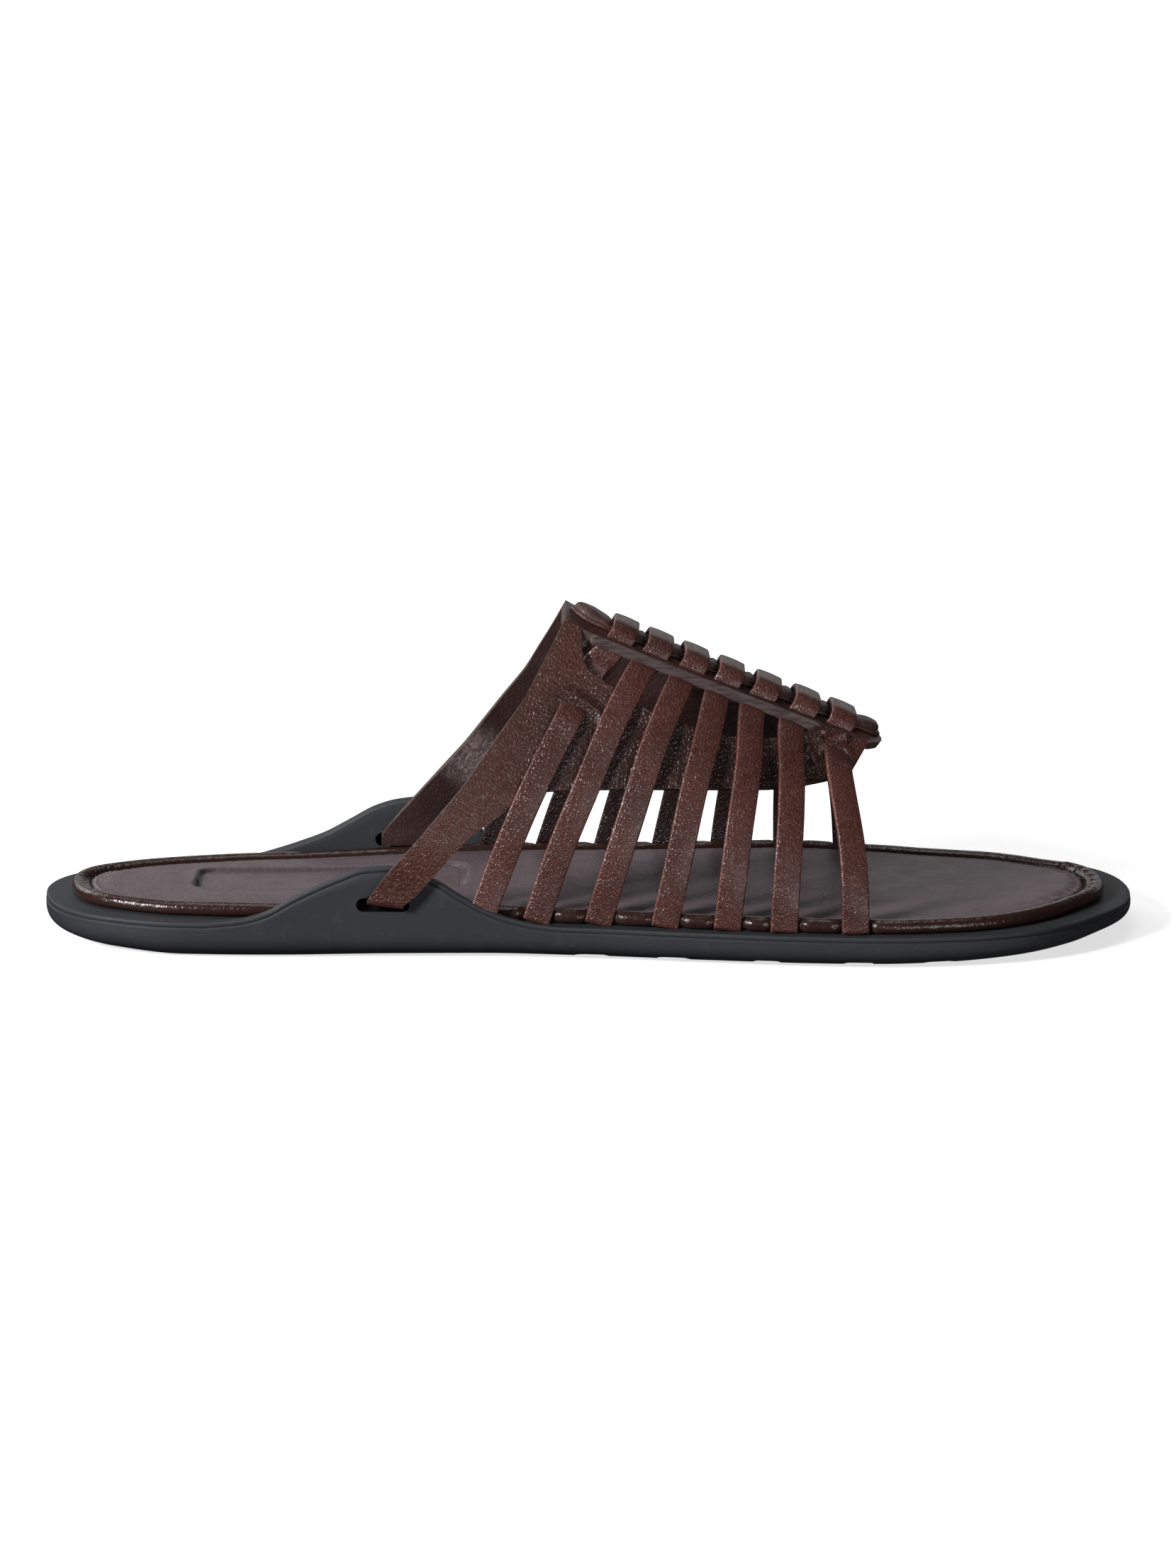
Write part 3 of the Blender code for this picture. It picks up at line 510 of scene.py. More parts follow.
def tread_block(start, end, lateral, medial, lateral_end, medial_end):
    """Rings of a four-cornered block: middle of its foot, foot, bevel, side, middle of its top."""
    x = np.array([start, end, end, start]) * SOLE_LENGTH
    y = np.array([-lateral, -lateral_end, medial_end, medial]) * BALL_HALF_WIDTH
    step = np.linspace(0, 1, 25)[:-1, None]
    corners = np.stack([x, y], 1)
    rim = np.concatenate([a + (b - a) * step for a, b in zip(corners, np.roll(corners, -1, 0))])
    centre = corners.mean(0)
    grow = 1 - TREAD_BEVEL / 0.02
    levels = [(0, 0), (0.25, 0), (0.5, 0), (0.75, 0), (grow, 0), (1, TREAD_BEVEL * 0.5),
              (1, TREAD_ROOT), (0, TREAD_ROOT)]
    return np.array([np.column_stack([centre + (rim - centre) * share, np.full(len(rim), z)])
                     for share, z in levels])


tread_rubber = Finish("tread_rubber", roughness=0.6, specular=0.35)
ripple = tread_rubber.node("ShaderNodeTexWave", {"bands_direction": "X"},
                           {"Scale": 190.0, "Distortion": 6.0, "Detail": 1.0, "Detail Scale": 0.4,
                            "Vector": tread_rubber.place})
rib = Value(tread_rubber, ripple.outputs["Fac"])
tread_rubber.set("Base Color", tread_rubber.mix(rib, (0.018, 0.018, 0.021), (0.031, 0.032, 0.036)))
tread_rubber.set("Normal", tread_rubber.bump(rib.above(0.3, 0.7), 0.0004))
skins = [tread_block(*row) for row in TREADS]
faces = [grid_faces(len(skin), skin.shape[1], True) for skin in skins]
faces[1] = faces[1] + skins[0].shape[0] * skins[0].shape[1]
treads = lay("outsole_treads", np.concatenate([skin.reshape(-1, 3) for skin in skins]),
             np.concatenate(faces))
treads.data.set_sharp_from_angle(angle=math.radians(35))
treads.data.materials.append(tread_rubber.material)
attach(treads, "root")
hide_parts("outsole")


# Insole: board and foam under a thin dark brown leather that is rolled over the edge; its top is
# coloured a lighter mauve-grey that is partly painted sheen. The roll is sewn down in a groove,
# pinched beside each strap and puckered round the heel and the toe. A plain rounded patch is
# pressed into the heel seat.
INSOLE_HEIGHT = 0.0031
INSOLE_ROLL = 0.0046
FILL_RINGS = 62
PATCH_LENGTH = 0.067
PATCH_WIDTH = 0.021
PATCH_CENTRE_X = 0.0708
PATCH_DEPTH = 0.0007
PATCH_BEVEL = 0.0008
STRAP_WIDTH = 0.0066
STRAP_PINCH = 0.0015
HEEL_PUCKER = 0.00060
TOE_PUCKER = 0.00070

# Loop's place along the ridge, lateral and medial foot as shares of the sole's length, and
# the share of the way down the side where the strap comes out over the saddle.
STRAPS = (
    (0.184, 0.4010, 0.4049, 0.27),
    (0.290, 0.4518, 0.4598, 0.06),
    (0.404, 0.5077, 0.5146, 0.06),
    (0.517, 0.5675, 0.5695, 0.06),
    (0.630, 0.6234, 0.6254, 0.06),
    (0.750, 0.6742, 0.6860, 0.06),
    (0.866, 0.7381, 0.7430, 0.12),
)

# Section of the insole: distance in from its edge as a share of the roll, and height as a
# share of the insole's. The groove is at 1.
ROLL = (
    (0.00, 0.42),
    (0.04, 0.66),
    (0.16, 0.86),
    (0.38, 0.99),
    (0.62, 0.985),
    (0.82, 0.87),
    (0.94, 0.66),
    (1.00, 0.50),
    (1.06, 0.58),
    (1.22, 0.70),
    (1.60, 0.77),
    (2.60, 0.79),
)


def pucker(length, spacing, seed):
    """Rounded folds with sharp valleys along a length, their spacing and depth uneven."""
    wander = np.sin(length / spacing * 0.83 + seed) + 0.6 * np.sin(length / spacing * 1.71 + 2 * seed)
    phase = length / spacing * 2 * math.pi + 1.3 * wander
    return np.abs(np.cos(phase / 2)) ** 0.7 * (0.7 + 0.3 * np.sin(length / spacing * 0.37 + seed))


def seat_of(outline):
    """Distance from the sole's edge to the insole."""
    lateral, medial = curve(EDGE, 4, outline.share), curve(EDGE, 6, outline.share)
    return RIM_WIDTH * np.where(outline.medial, medial, lateral)


def insole_surface(outline):
    """Rings round the insole: under its edge, round the roll, through the groove, inwards."""
    share, medial = outline.share, outline.medial
    base = rim_height(share, medial) + FIT_GAP
    seat = seat_of(outline)
    x = share * SOLE_LENGTH
    pinch = np.zeros(len(x))
    for row in STRAPS:
        foot = np.where(medial, row[2], row[1]) * SOLE_LENGTH
        off = np.abs(x - foot)
        pinch += smooth_step(off, STRAP_WIDTH * 0.74, STRAP_WIDTH * 0.46)
    swell = np.where((share > 0.39) & (share < 0.76), 1 - pinch, 0.0)
    base_ring = outline.ring(seat + 2 * INSOLE_ROLL, base)
    rings = outline.fill(base_ring, 3)[::-1] + [base_ring]
    for inset, height in ((0.30, 0.0), (0.16, 0.02), (0.07, 0.12), (0.02, 0.27)):
        rings.append(outline.ring(seat + STRAP_PINCH * pinch + inset * INSOLE_ROLL,
                                  base + height * INSOLE_HEIGHT))
    heel = smooth_step(share, 0.075, 0.045)
    toe = smooth_step(share, 0.935, 0.965)
    folds = heel * HEEL_PUCKER * pucker(outline.length, 0.0030, 1.0)
    folds = folds + toe * TOE_PUCKER * pucker(outline.length, 0.0062, 2.0)
    side_folds = 0.00018 * pucker(outline.length, 0.0029, 5.0) * (1 - heel) * (1 - toe)
    steps = np.concatenate([np.linspace(0, 0.38, 12), np.linspace(0.44, 1.0, 15),
                            np.linspace(1.02, 1.30, 9)])
    for a in steps:
        pulled = STRAP_PINCH * pinch * (1 - smooth_step(a, 0.3, 0.95))
        height = curve(ROLL, 1, a) * INSOLE_HEIGHT + 0.0002 * swell * (a < 1) * (1 - a)
        near_groove = np.exp(-((a - 1.0) / 0.42) ** 2)
        z = base + height - folds * near_groove * 1.1 - side_folds * near_groove
        rings.append(outline.ring(seat + pulled + a * INSOLE_ROLL, z))
    inner = rings[-1]
    level = base + curve(ROLL, 1, 2.6) * INSOLE_HEIGHT
    fill = outline.fill(inner, FILL_RINGS)
    top = outline.fill(outline.ring(seat + steps[-1] * INSOLE_ROLL, level), FILL_RINGS)
    for k, (ring, flat) in enumerate(zip(fill, top), 1):
        ease = smooth_step(k / FILL_RINGS, 0.0, 0.16)
        fade = math.exp(-((k / FILL_RINGS) / 0.10) ** 2)
        ring[:, 2] = ring[:, 2] * (1 - ease) + flat[:, 2] * ease - 0.35 * folds * fade
    start = len(rings) - len(steps)
    mark = np.concatenate([np.zeros(start), steps, np.full(len(fill), 2.0)])
    near_groove = np.exp(-((mark - 1.0) / 0.45) ** 2)
    tucks = near_groove[:, None] * ((heel + toe) * (1 - folds / folds.max()))[None]
    return np.array(rings + fill), np.repeat(mark[:, None], len(x), axis=1), tucks


def press_patch(rings, lowest):
    """Top points inside the patch's rounded outline move down, with a bevelled border."""
    dx = np.abs(rings[..., 0] - PATCH_CENTRE_X) - PATCH_LENGTH / 2 + PATCH_WIDTH / 5
    dy = np.abs(rings[..., 1]) - PATCH_WIDTH / 2 + PATCH_WIDTH / 5
    outside = np.hypot(np.maximum(dx, 0), np.maximum(dy, 0)) + np.minimum(np.maximum(dx, dy), 0)
    outside -= PATCH_WIDTH / 5
    top = rings[..., 2] > lowest
    dip = smooth_step(outside, PATCH_BEVEL * 0.45, -PATCH_BEVEL * 0.55)
    ridge = np.exp(-((outside - PATCH_BEVEL) / 0.0009) ** 2)
    rings[..., 2] += top * (0.00016 * ridge - PATCH_DEPTH * dip)
    return outside


outline = SoleOutline(340)
rings, inset, tucks = insole_surface(outline)
press_patch(rings, WALL_HEIGHT + INSOLE_HEIGHT * 0.45)
wave = np.sin(rings[..., 0] * 190 + 1.2) * np.sin(rings[..., 1] * 160 + rings[..., 0] * 60)
rings[..., 2] += 0.00007 * wave * (rings[..., 2] > WALL_HEIGHT + INSOLE_HEIGHT * 0.7)
insole = lay("insole_pad", rings, grid_faces(len(rings), rings.shape[1], True), inset=inset, tuck=tucks)

cover = Finish("insole_cover", roughness=0.42, specular=0.5)
inset = cover.attribute("inset")
tuck = cover.attribute("tuck").above(0.35, 0.9)
middle = inset.above(0.94, 1.02)
groove = inset.above(0.84, 0.97) * (1 - inset.above(1.04, 1.24))
split = cover.node("ShaderNodeSeparateXYZ", None, {0: cover.place}).outputs
corner = PATCH_WIDTH / 5
past = []
for axis, centre, size in ((0, PATCH_CENTRE_X + FOOTPRINT_SHIFT.x, PATCH_LENGTH),
                           (1, FOOTPRINT_SHIFT.y, PATCH_WIDTH)):
    off = Value(cover, split[axis]) - centre
    past.append(off.maths("ABSOLUTE", off) - (size / 2 - corner))
beyond = [value.maths("MAXIMUM", value, 0.0) for value in past]
ring_off = (beyond[0] * beyond[0] + beyond[1] * beyond[1]) ** 0.5
within = past[0].maths("MAXIMUM", *past)
patch_off = ring_off + within.maths("MINIMUM", within, 0.0) - corner
patch_step = patch_off.above(-0.0016, 0.0002)
# A dark band just inside the pressed patch's border: painted shade on the slope of the recess.
patch_border_shade = patch_off.above(-0.0026, -0.0008) * (1 - patch_off.above(-0.0002, 0.0006)) * middle
cloud = cover.noise(42.0, 5.0, 0.6)
blotch = cover.noise(160.0, 4.0, 0.62)
pore = cover.cells(2300.0)
vein = cover.cells(820.0, "SMOOTH_F1", smooth=0.5)
# The top is a lighter mauve-grey and the roll a dark brown: the top's colour partly paints the sheen of
# the bright surroundings on the leather.
top_tone_and_sheen = cover.mix(cloud, (0.100, 0.071, 0.080), (0.138, 0.105, 0.118))
top_tone_and_sheen = cover.mix(blotch.above(0.45, 0.7) * 0.4, top_tone_and_sheen, (0.080, 0.050, 0.052))
side_tone = cover.mix(blotch, (0.019, 0.0075, 0.0058), (0.036, 0.0145, 0.0110))
tone = cover.mix(middle, side_tone, top_tone_and_sheen)
# The groove round the top and the puckers near it at the heel and the toe are made near-black: painted
# shade in the groove and the gathers.
tone = cover.mix((groove * 0.8 + tuck * 0.5).held(), tone, (0.012, 0.0065, 0.006))
# The patch's border band darkens the tone: painted shade.
cover.set("Base Color", cover.mix(patch_border_shade * 0.62, tone, (0.022, 0.012, 0.012)))
cover.set("Roughness", 0.20 + middle * 0.20 + blotch * 0.12)
fine = cover.bump(pore, 0.00005)
fine = cover.bump(patch_step, 0.0010, fine)
cover.set("Normal", cover.bump(vein * 0.6 + blotch * 0.6, 0.00014, fine))
insole.data.materials.append(cover.material)
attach(insole, "root")
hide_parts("insole")


# Insole stitches: dark waxed thread in the roll's groove, one stitch every 3 mm, each a
# short rounded dash that dips at both ends.
STITCH_PITCH = 0.0031
STITCH_LENGTH = 0.0023
THREAD = 0.00042


def dashes(line, normal, pitch, length, thickness, lift):
    """Stitches along a closed line: each a bowed tube whose two ends dip into the leather."""
    step = np.linalg.norm(np.diff(line, axis=0), axis=1)
    run = np.concatenate([[0], np.cumsum(step)])
    count = int(run[-1] / pitch)
    starts = (np.arange(count) + 0.5) * run[-1] / count
    along = np.linspace(-0.5, 0.5, 7)
    at = starts[:, None] + along[None] * length
    middle = np.stack([np.interp(at, run, line[:, c]) for c in range(3)], -1)
    up = np.stack([np.interp(at, run, normal[:, c]) for c in range(3)], -1)
    bow = 1 - (2 * np.abs(along)) ** 3
    middle = middle + up * (lift * bow - thickness * 0.4)[None, :, None]
    way = np.gradient(middle, axis=1)
    way /= np.linalg.norm(way, axis=2)[..., None]
    side = np.cross(way, up)
    side /= np.linalg.norm(side, axis=2)[..., None]
    above = np.cross(side, way)
    around = np.linspace(0, 2 * math.pi, 7)[:-1]
    girth = thickness / 2 * np.sqrt(np.clip(1 - (2 * np.abs(along)) ** 6, 0.02, 1))
    ring = (side[:, :, None] * np.cos(around)[:, None] + above[:, :, None] * np.sin(around)[:, None])
    tube = middle[:, :, None] + ring * girth[None, :, None, None]
    quads = grid_faces(7, 6, True)
    faces = (quads[None] + (np.arange(count) * 42)[:, None, None]).reshape(-1, 4)
    return tube.reshape(-1, 3), faces


thread = Finish("thread_dark", roughness=0.6, specular=0.3)
twist = thread.noise(3200.0, 2.0, 0.5)
thread.set("Base Color", thread.mix(twist, (0.010, 0.0065, 0.0065), (0.022, 0.014, 0.013)))
thread.set("Normal", thread.bump(twist, 0.00006))

share, medial = outline.share, outline.medial
seat = seat_of(outline)
groove_z = rim_height(share, medial) + FIT_GAP + (curve(ROLL, 1, 1.0) + 0.05) * INSOLE_HEIGHT
groove = outline.ring(seat + INSOLE_ROLL * 1.0, groove_z)
groove = np.concatenate([groove, groove[:1]])
upwards = np.tile([0.0, 0.0, 1.0], (len(groove), 1))
tubes, faces = dashes(groove, upwards, STITCH_PITCH, STITCH_LENGTH, THREAD, 0.00022)
stitches = lay("insole_stitches", tubes, faces, merge=1e-9)
stitches.data.materials.append(thread.material)
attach(stitches, "root")


# Saddle: one piece of 2 mm leather, crowned along the ridge and folded down at both sides,
# with two rear bands that run into the wings' slots. A window is cut under each edge of the
# top plate. Cut edges are left raw, lighter and fibrous.
PANEL_WALL = 0.0020
RIDGE_REAR_X = 0.1285
RIDGE_REAR_Z = 0.0811
RIDGE_FRONT_X = 0.2069
RIDGE_FRONT_Z = 0.0475
PLATE_HALF_WIDTH = 0.0123
MEDIAL_WINDOW_DEPTH = 0.0075
PLATE_CROWN = 0.0009
TIP_ROUND = 0.0068
TIP_HALF_WIDTH = 0.016
EDGE_ROUND = 0.00032
RIDGE_RUN = RIDGE_FRONT_X - RIDGE_REAR_X
RIDGE_DROP = RIDGE_REAR_Z - RIDGE_FRONT_Z
RIDGE_ANGLE = math.atan2(RIDGE_DROP, RIDGE_RUN)

# Share of the ridge's run from its rear, share of its drop.
RIDGE = (
    (0.000, 0.000),
    (0.032, 0.043),
    (0.078, 0.102),
    (0.160, 0.184),
    (0.466, 0.473),
    (0.784, 0.765),
    (0.912, 0.884),
    (0.963, 0.940),
    (1.000, 1.000),
)

# Share of the sole's length, fullness of the lateral and the medial side, and their feet as
# shares of the ball half width.
SADDLE_SIDE = (
    (0.28, 1.75, 1.75, 0.860, 0.575),
    (0.34, 1.75, 1.75, 0.860, 0.580),
    (0.39, 1.60, 1.60, 0.830, 0.640),
    (0.45, 1.35, 1.35, 0.790, 0.700),
    (0.52, 1.25, 1.25, 0.790, 0.700),
    (0.60, 1.25, 1.25, 0.840, 0.740),
    (0.70, 1.25, 1.25, 0.900, 0.850),
    (0.80, 1.25, 1.25, 0.900, 0.880),
)

# Side view of the folded side as rungs of a ladder: lower end, then upper end, as shares of
# the sole's length and of the ridge's rear height. An upper height of 2 is the plate's edge.
RUNGS = (
    (0.3461, 0.209, 0.3052, 0.209),
    (0.3577, 0.252, 0.3160, 0.257),
    (0.3820, 0.342, 0.3400, 0.349),
    (0.3965, 0.385, 0.3640, 0.438),
    (0.4069, 0.408, 0.3840, 0.512),
    (0.4140, 0.422, 0.4020, 0.590),
    (0.4209, 0.438, 0.4189, 0.665),
    (0.4290, 0.461, 0.4409, 0.762),
    (0.4359, 0.478, 0.4540, 0.838),
    (0.4488, 0.495, 0.4643, 0.898),
    (0.4640, 0.500, 0.4783, 2.0),
    (0.4788, 0.502, 0.4932, 2.0),
    (0.4880, 0.502, 0.4936, 0.905),
    (0.4960, 0.502, 0.4972, 0.850),
    (0.5100, 0.502, 0.5107, 0.812),
    (0.5300, 0.502, 0.5316, 0.770),
    (0.5560, 0.502, 0.5575, 0.715),
    (0.5930, 0.502, 0.5945, 0.672),
    (0.6300, 0.502, 0.6314, 0.643),
    (0.6583, 0.502, 0.6653, 0.636),
    (0.6882, 0.508, 0.6942, 0.646),
    (0.7020, 0.514, 0.7092, 0.668),
    (0.7141, 0.520, 0.7141, 2.0),
    (0.7250, 0.527, 0.7320, 2.0),
    (0.7371, 0.535, 0.7529, 2.0),
)
REAR_CORNER, WINDOW_REAR, WINDOW_FRONT = 10, 11, 22


def ridge_z(x):
    """Height of the plate's top along the middle; the slope goes on past both ends."""
    share = (np.asarray(x, float) - RIDGE_REAR_X) / RIDGE_RUN
    drop = curve(RIDGE, 1, share) + share - np.clip(share, 0, 1)
    return RIDGE_REAR_Z - RIDGE_DROP * drop


def plate_z(x, y):
    """Height of the crowned plate's top."""
    return ridge_z(x) - PLATE_CROWN * (y / PLATE_HALF_WIDTH) ** 2


def side_point(x, side, fall, fullness, foot_y, foot_z):
    """Point on an arch: out from the plate's edge as 1 - (1 - fall) ** fullness."""
    edge_z = plate_z(x, PLATE_HALF_WIDTH)
    out = 1 - np.clip(1 - fall, 0, None) ** fullness
    y = side * (PLATE_HALF_WIDTH + (foot_y - PLATE_HALF_WIDTH) * out)
    return np.stack(np.broadcast_arrays(x, y, edge_z + (foot_z - edge_z) * fall), -1)


def saddle_side(x, side, fall):
    """Point on the saddle's side at a share of the way down."""
    share = x / SOLE_LENGTH
    column = 1 if side < 0 else 2
    fullness = curve(SADDLE_SIDE, column, share)
    foot = BALL_HALF_WIDTH * curve(SADDLE_SIDE, column + 2, share)
    return side_point(x, side, fall, fullness, foot, WALL_HEIGHT)


def saddle_at(x, z, side):
    """Point on the saddle's side at a place in the side view."""
    edge_z = plate_z(x, PLATE_HALF_WIDTH)
    return saddle_side(x, side, (edge_z - z) / (edge_z - WALL_HEIGHT))


def ladder(side, counts):
    """Rungs at a finer spacing, smooth between corners: lower x, z and upper x, z."""
    rows = np.array(RUNGS)
    lower = rows[:, :2] * [SOLE_LENGTH, RIDGE_REAR_Z]
    upper = rows[:, 2:] * [SOLE_LENGTH, RIDGE_REAR_Z]
    on_plate = rows[:, 3] > 1.5
    rail_z = plate_z(upper[:, 0], PLATE_HALF_WIDTH)
    upper[on_plate, 1] = rail_z[on_plate]
    if side > 0:
        sill = slice(WINDOW_REAR + 1, WINDOW_FRONT)
        upper[sill, 1] = np.maximum(upper[sill, 1], rail_z[sill] - MEDIAL_WINDOW_DEPTH)
    spots = [np.arange(n) / n + i for i, n in enumerate(counts)]
    at = np.concatenate(spots + [[len(rows) - 1.0]])
    index = np.arange(len(rows), dtype=float)
    low = np.stack([curve(np.stack([index, lower[:, c]], 1), 1, at) for c in (0, 1)], 1)
    high = np.zeros_like(low)
    corners = (0, REAR_CORNER, WINDOW_REAR, WINDOW_FRONT, len(rows) - 1)
    for start, end in zip(corners[:-1], corners[1:]):
        here = (at >= start) & (at <= end)
        part = slice(start, end + 1)
        for c in (0, 1):
            table = np.stack([index[part], upper[part, c]], 1)
            high[here, c] = curve(table, 1, at[here])
        if on_plate[start] and on_plate[end] and end - start < 4:
            high[here, 1] = plate_z(high[here, 0], PLATE_HALF_WIDTH)
    return at, low, high


# Soft troughs and folds of the side's leather: a line in the side view as shares of length
# and height, then width and depth in metres. A minus depth is a raised fold.
CREASES = (
    (((0.4420, 0.640), (0.4400, 0.570), (0.4360, 0.500)), 0.0050, 0.00030),
    (((0.4660, 0.800), (0.4600, 0.700), (0.4520, 0.600)), 0.0070, -0.00025),
    (((0.4790, 0.773), (0.4877, 0.770), (0.4950, 0.757), (0.5043, 0.738), (0.5095, 0.722),
      (0.5120, 0.695), (0.5110, 0.660)), 0.0019, -0.00085),
    (((0.4800, 0.795), (0.4910, 0.790), (0.5040, 0.764), (0.5150, 0.735)), 0.0028, 0.00035),
    (((0.7040, 0.588), (0.7093, 0.593), (0.7170, 0.603), (0.7257, 0.608), (0.7330, 0.603),
      (0.7365, 0.580), (0.7375, 0.550)), 0.0017, -0.00075),
    (((0.6960, 0.600), (0.7030, 0.580), (0.7060, 0.560)), 0.0016, -0.00050),
    (((0.6990, 0.620), (0.7080, 0.612), (0.7160, 0.622)), 0.0018, 0.00040),
    (((0.6930, 0.585), (0.7000, 0.570), (0.7020, 0.545)), 0.0015, 0.00040),
    (((0.7010, 0.640), (0.7100, 0.632), (0.7200, 0.640)), 0.0018, -0.00030),
    (((0.5300, 0.745), (0.5450, 0.690), (0.5500, 0.620)), 0.0060, 0.00030),
    (((0.5750, 0.670), (0.5800, 0.600), (0.5780, 0.540)), 0.0060, 0.00025),
)


def crease(points, line, width, depth):
    """Depth of a soft trough along a line of the side view that fades out at both ends."""
    spots = np.array(line) * [SOLE_LENGTH, RIDGE_REAR_Z]
    pieces = np.linalg.norm(np.diff(spots, axis=0), axis=1)
    run = np.concatenate([[0], np.cumsum(pieces)]) / pieces.sum()
    nearest = np.full(points.shape[:-1], 1.0)
    along = np.zeros(points.shape[:-1])
    for a, b, start, end in zip(spots[:-1], spots[1:], run[:-1], run[1:]):
        t = np.clip(((points[..., [0, 2]] - a) @ (b - a)) / np.sum((b - a) ** 2), 0, 1)
        off = np.linalg.norm(points[..., [0, 2]] - (a + t[..., None] * (b - a)), axis=-1)
        along = np.where(off < nearest, start + t * (end - start), along)
        nearest = np.minimum(nearest, off)
    fade = smooth_step(along, 0.0, 0.2) * smooth_step(along, 1.0, 0.8)
    return depth * np.exp(-(2 * nearest / width) ** 2) * fade


# End of each rear band: front and rear corner in the side view.
BAND_END_LATERAL = ((0.0899, 0.0137), (0.0810, 0.0149))
BAND_END_MEDIAL = ((0.0912, 0.0165), (0.0832, 0.0166))


def band_end(side, first_row):
    """Rows from inside the slot out to the first rung: fold, wing's face, then the run up."""
    corners = np.array(BAND_END_LATERAL if side < 0 else BAND_END_MEDIAL)
    count = len(first_row)
    line = corners[0] + (corners[1] - corners[0]) * np.linspace(0, 1, count)[:, None]
    edge = abs(float(plan_edge(SLOT_CENTRE_X / SOLE_LENGTH, side)))
    face = edge + PANEL_WALL + FIT_GAP if side < 0 else edge - WING_WALL - FIT_GAP
    deep = WING_WALL - SLOT_BACK - FIT_GAP
    if side < 0:
        fold = ((-PANEL_WALL - deep, -0.0007), (-PANEL_WALL - deep * 0.4, -0.0007),
                (-PANEL_WALL * 0.75, -0.0007), (-PANEL_WALL * 0.35, -0.0005),
                (-PANEL_WALL * 0.08, -0.0001), (0.0, 0.0004))
    else:
        fold = ((deep, 0.0), (deep * 0.4, 0.0), (0.0006, 0.0), (0.0002, 0.0002), (0.0, 0.0006))
    rows = [np.column_stack([line[:, 0], np.full(count, side * (face + out)), line[:, 1] + up])
            for out, up in fold]
    last = rows[-1]
    for w in (0.33, 0.66):
        rows.append(last * (1 - w) + first_row * w)
    return rows


RUNG_COUNTS = (6, 8, 7, 6, 5, 5, 6, 6, 6, 8, 7, 7, 5, 8, 11, 10, 11, 14, 14, 11, 11, 10, 9, 8)
ACROSS = 54
PLATE_ACROSS = 34


def saddle_points(side):
    """The folded side as a grid: rungs by steps up each, lifted out of the side view."""
    _, low, high = ladder(side, RUNG_COUNTS)
    ease = (1 - np.cos(np.linspace(0, math.pi, ACROSS + 1))) / 2
    t = 0.4 * ease + 0.6 * np.linspace(0, 1, ACROSS + 1)
    flat = low[:, None] * (1 - t[None, :, None]) + high[:, None] * t[None, :, None]
    points = saddle_at(flat[..., 0], flat[..., 1], side)
    for mark in CREASES:
        points[..., 1] -= side * crease(points, *mark) * smooth_step(t, 1.0, 0.97)
    near_slot = smooth_step(points[..., 2], 0.0300, 0.0165) * smooth_step(points[..., 0], 0.108, 0.100)
    points[..., 1] += side * near_slot * (-0.0015 if side < 0 else 0.0015)
    return np.concatenate([np.array(band_end(side, points[0])), points])


sides, quads, base = [], [], 0
for side in (-1, 1):
    points = saddle_points(side)
    faces = grid_faces(points.shape[0], points.shape[1], False)
    sides.append(points.reshape(-1, 3))
    quads.append((faces if side > 0 else faces[:, ::-1]) + base)
    base += points.shape[0] * points.shape[1]

stations_at, _, rail = ladder(-1, RUNG_COUNTS)
rear_part = rail[(stations_at >= REAR_CORNER) & (stations_at <= WINDOW_REAR), 0]
front_part = rail[stations_at >= WINDOW_FRONT, 0]
between = np.linspace(rear_part[-1], front_part[0], 100)[1:-1]
stations = np.concatenate([rear_part, between, front_part])
y = np.linspace(-1, 1, PLATE_ACROSS + 1) * PLATE_HALF_WIDTH
tip_x = RIDGE_FRONT_X - TIP_ROUND * (y / TIP_HALF_WIDTH) ** 2
tip_share = np.clip((stations - front_part[0]) / (front_part[-1] - front_part[0]), 0, 1)
plate_x = stations[:, None] + tip_share[:, None] ** 2 * (tip_x - front_part[-1])[None]
plate_y = np.broadcast_to(y, plate_x.shape)
plate = np.stack([plate_x, plate_y, plate_z(plate_x, plate_y)], -1)
trough = np.exp(-((np.abs(plate_y) - 0.0078) / 0.0022) ** 2) * smooth_step(plate_x, 0.1300, 0.1340)
plate[..., 2] -= 0.00035 * trough * smooth_step(plate_x, 0.2040, 0.2000)
sides.append(plate.reshape(-1, 3))
quads.append(grid_faces(*plate.shape[:2], False) + base)
saddle = lay("saddle_leather", np.concatenate(sides), np.concatenate(quads), merge=6e-5)

shape = bmesh.new()
shape.from_mesh(saddle.data)
highest = max(shape.faces, key=lambda face: face.calc_center_median().z)
if highest.normal.z < 0:
    bmesh.ops.reverse_faces(shape, faces=shape.faces)
shape.to_mesh(saddle.data)
shape.free()

wall = saddle.modifiers.new("wall", "SOLIDIFY")
wall.thickness, wall.offset, wall.use_even_offset = PANEL_WALL, -1, True
wall.material_offset_rim = 1
wall.material_offset = 2
wall.use_quality_normals = True
bevel = saddle.modifiers.new("edge", "BEVEL")
bevel.width, bevel.segments, bevel.limit_method = EDGE_ROUND, 3, "ANGLE"
bevel.angle_limit = math.radians(55)
bevel.harden_normals = False


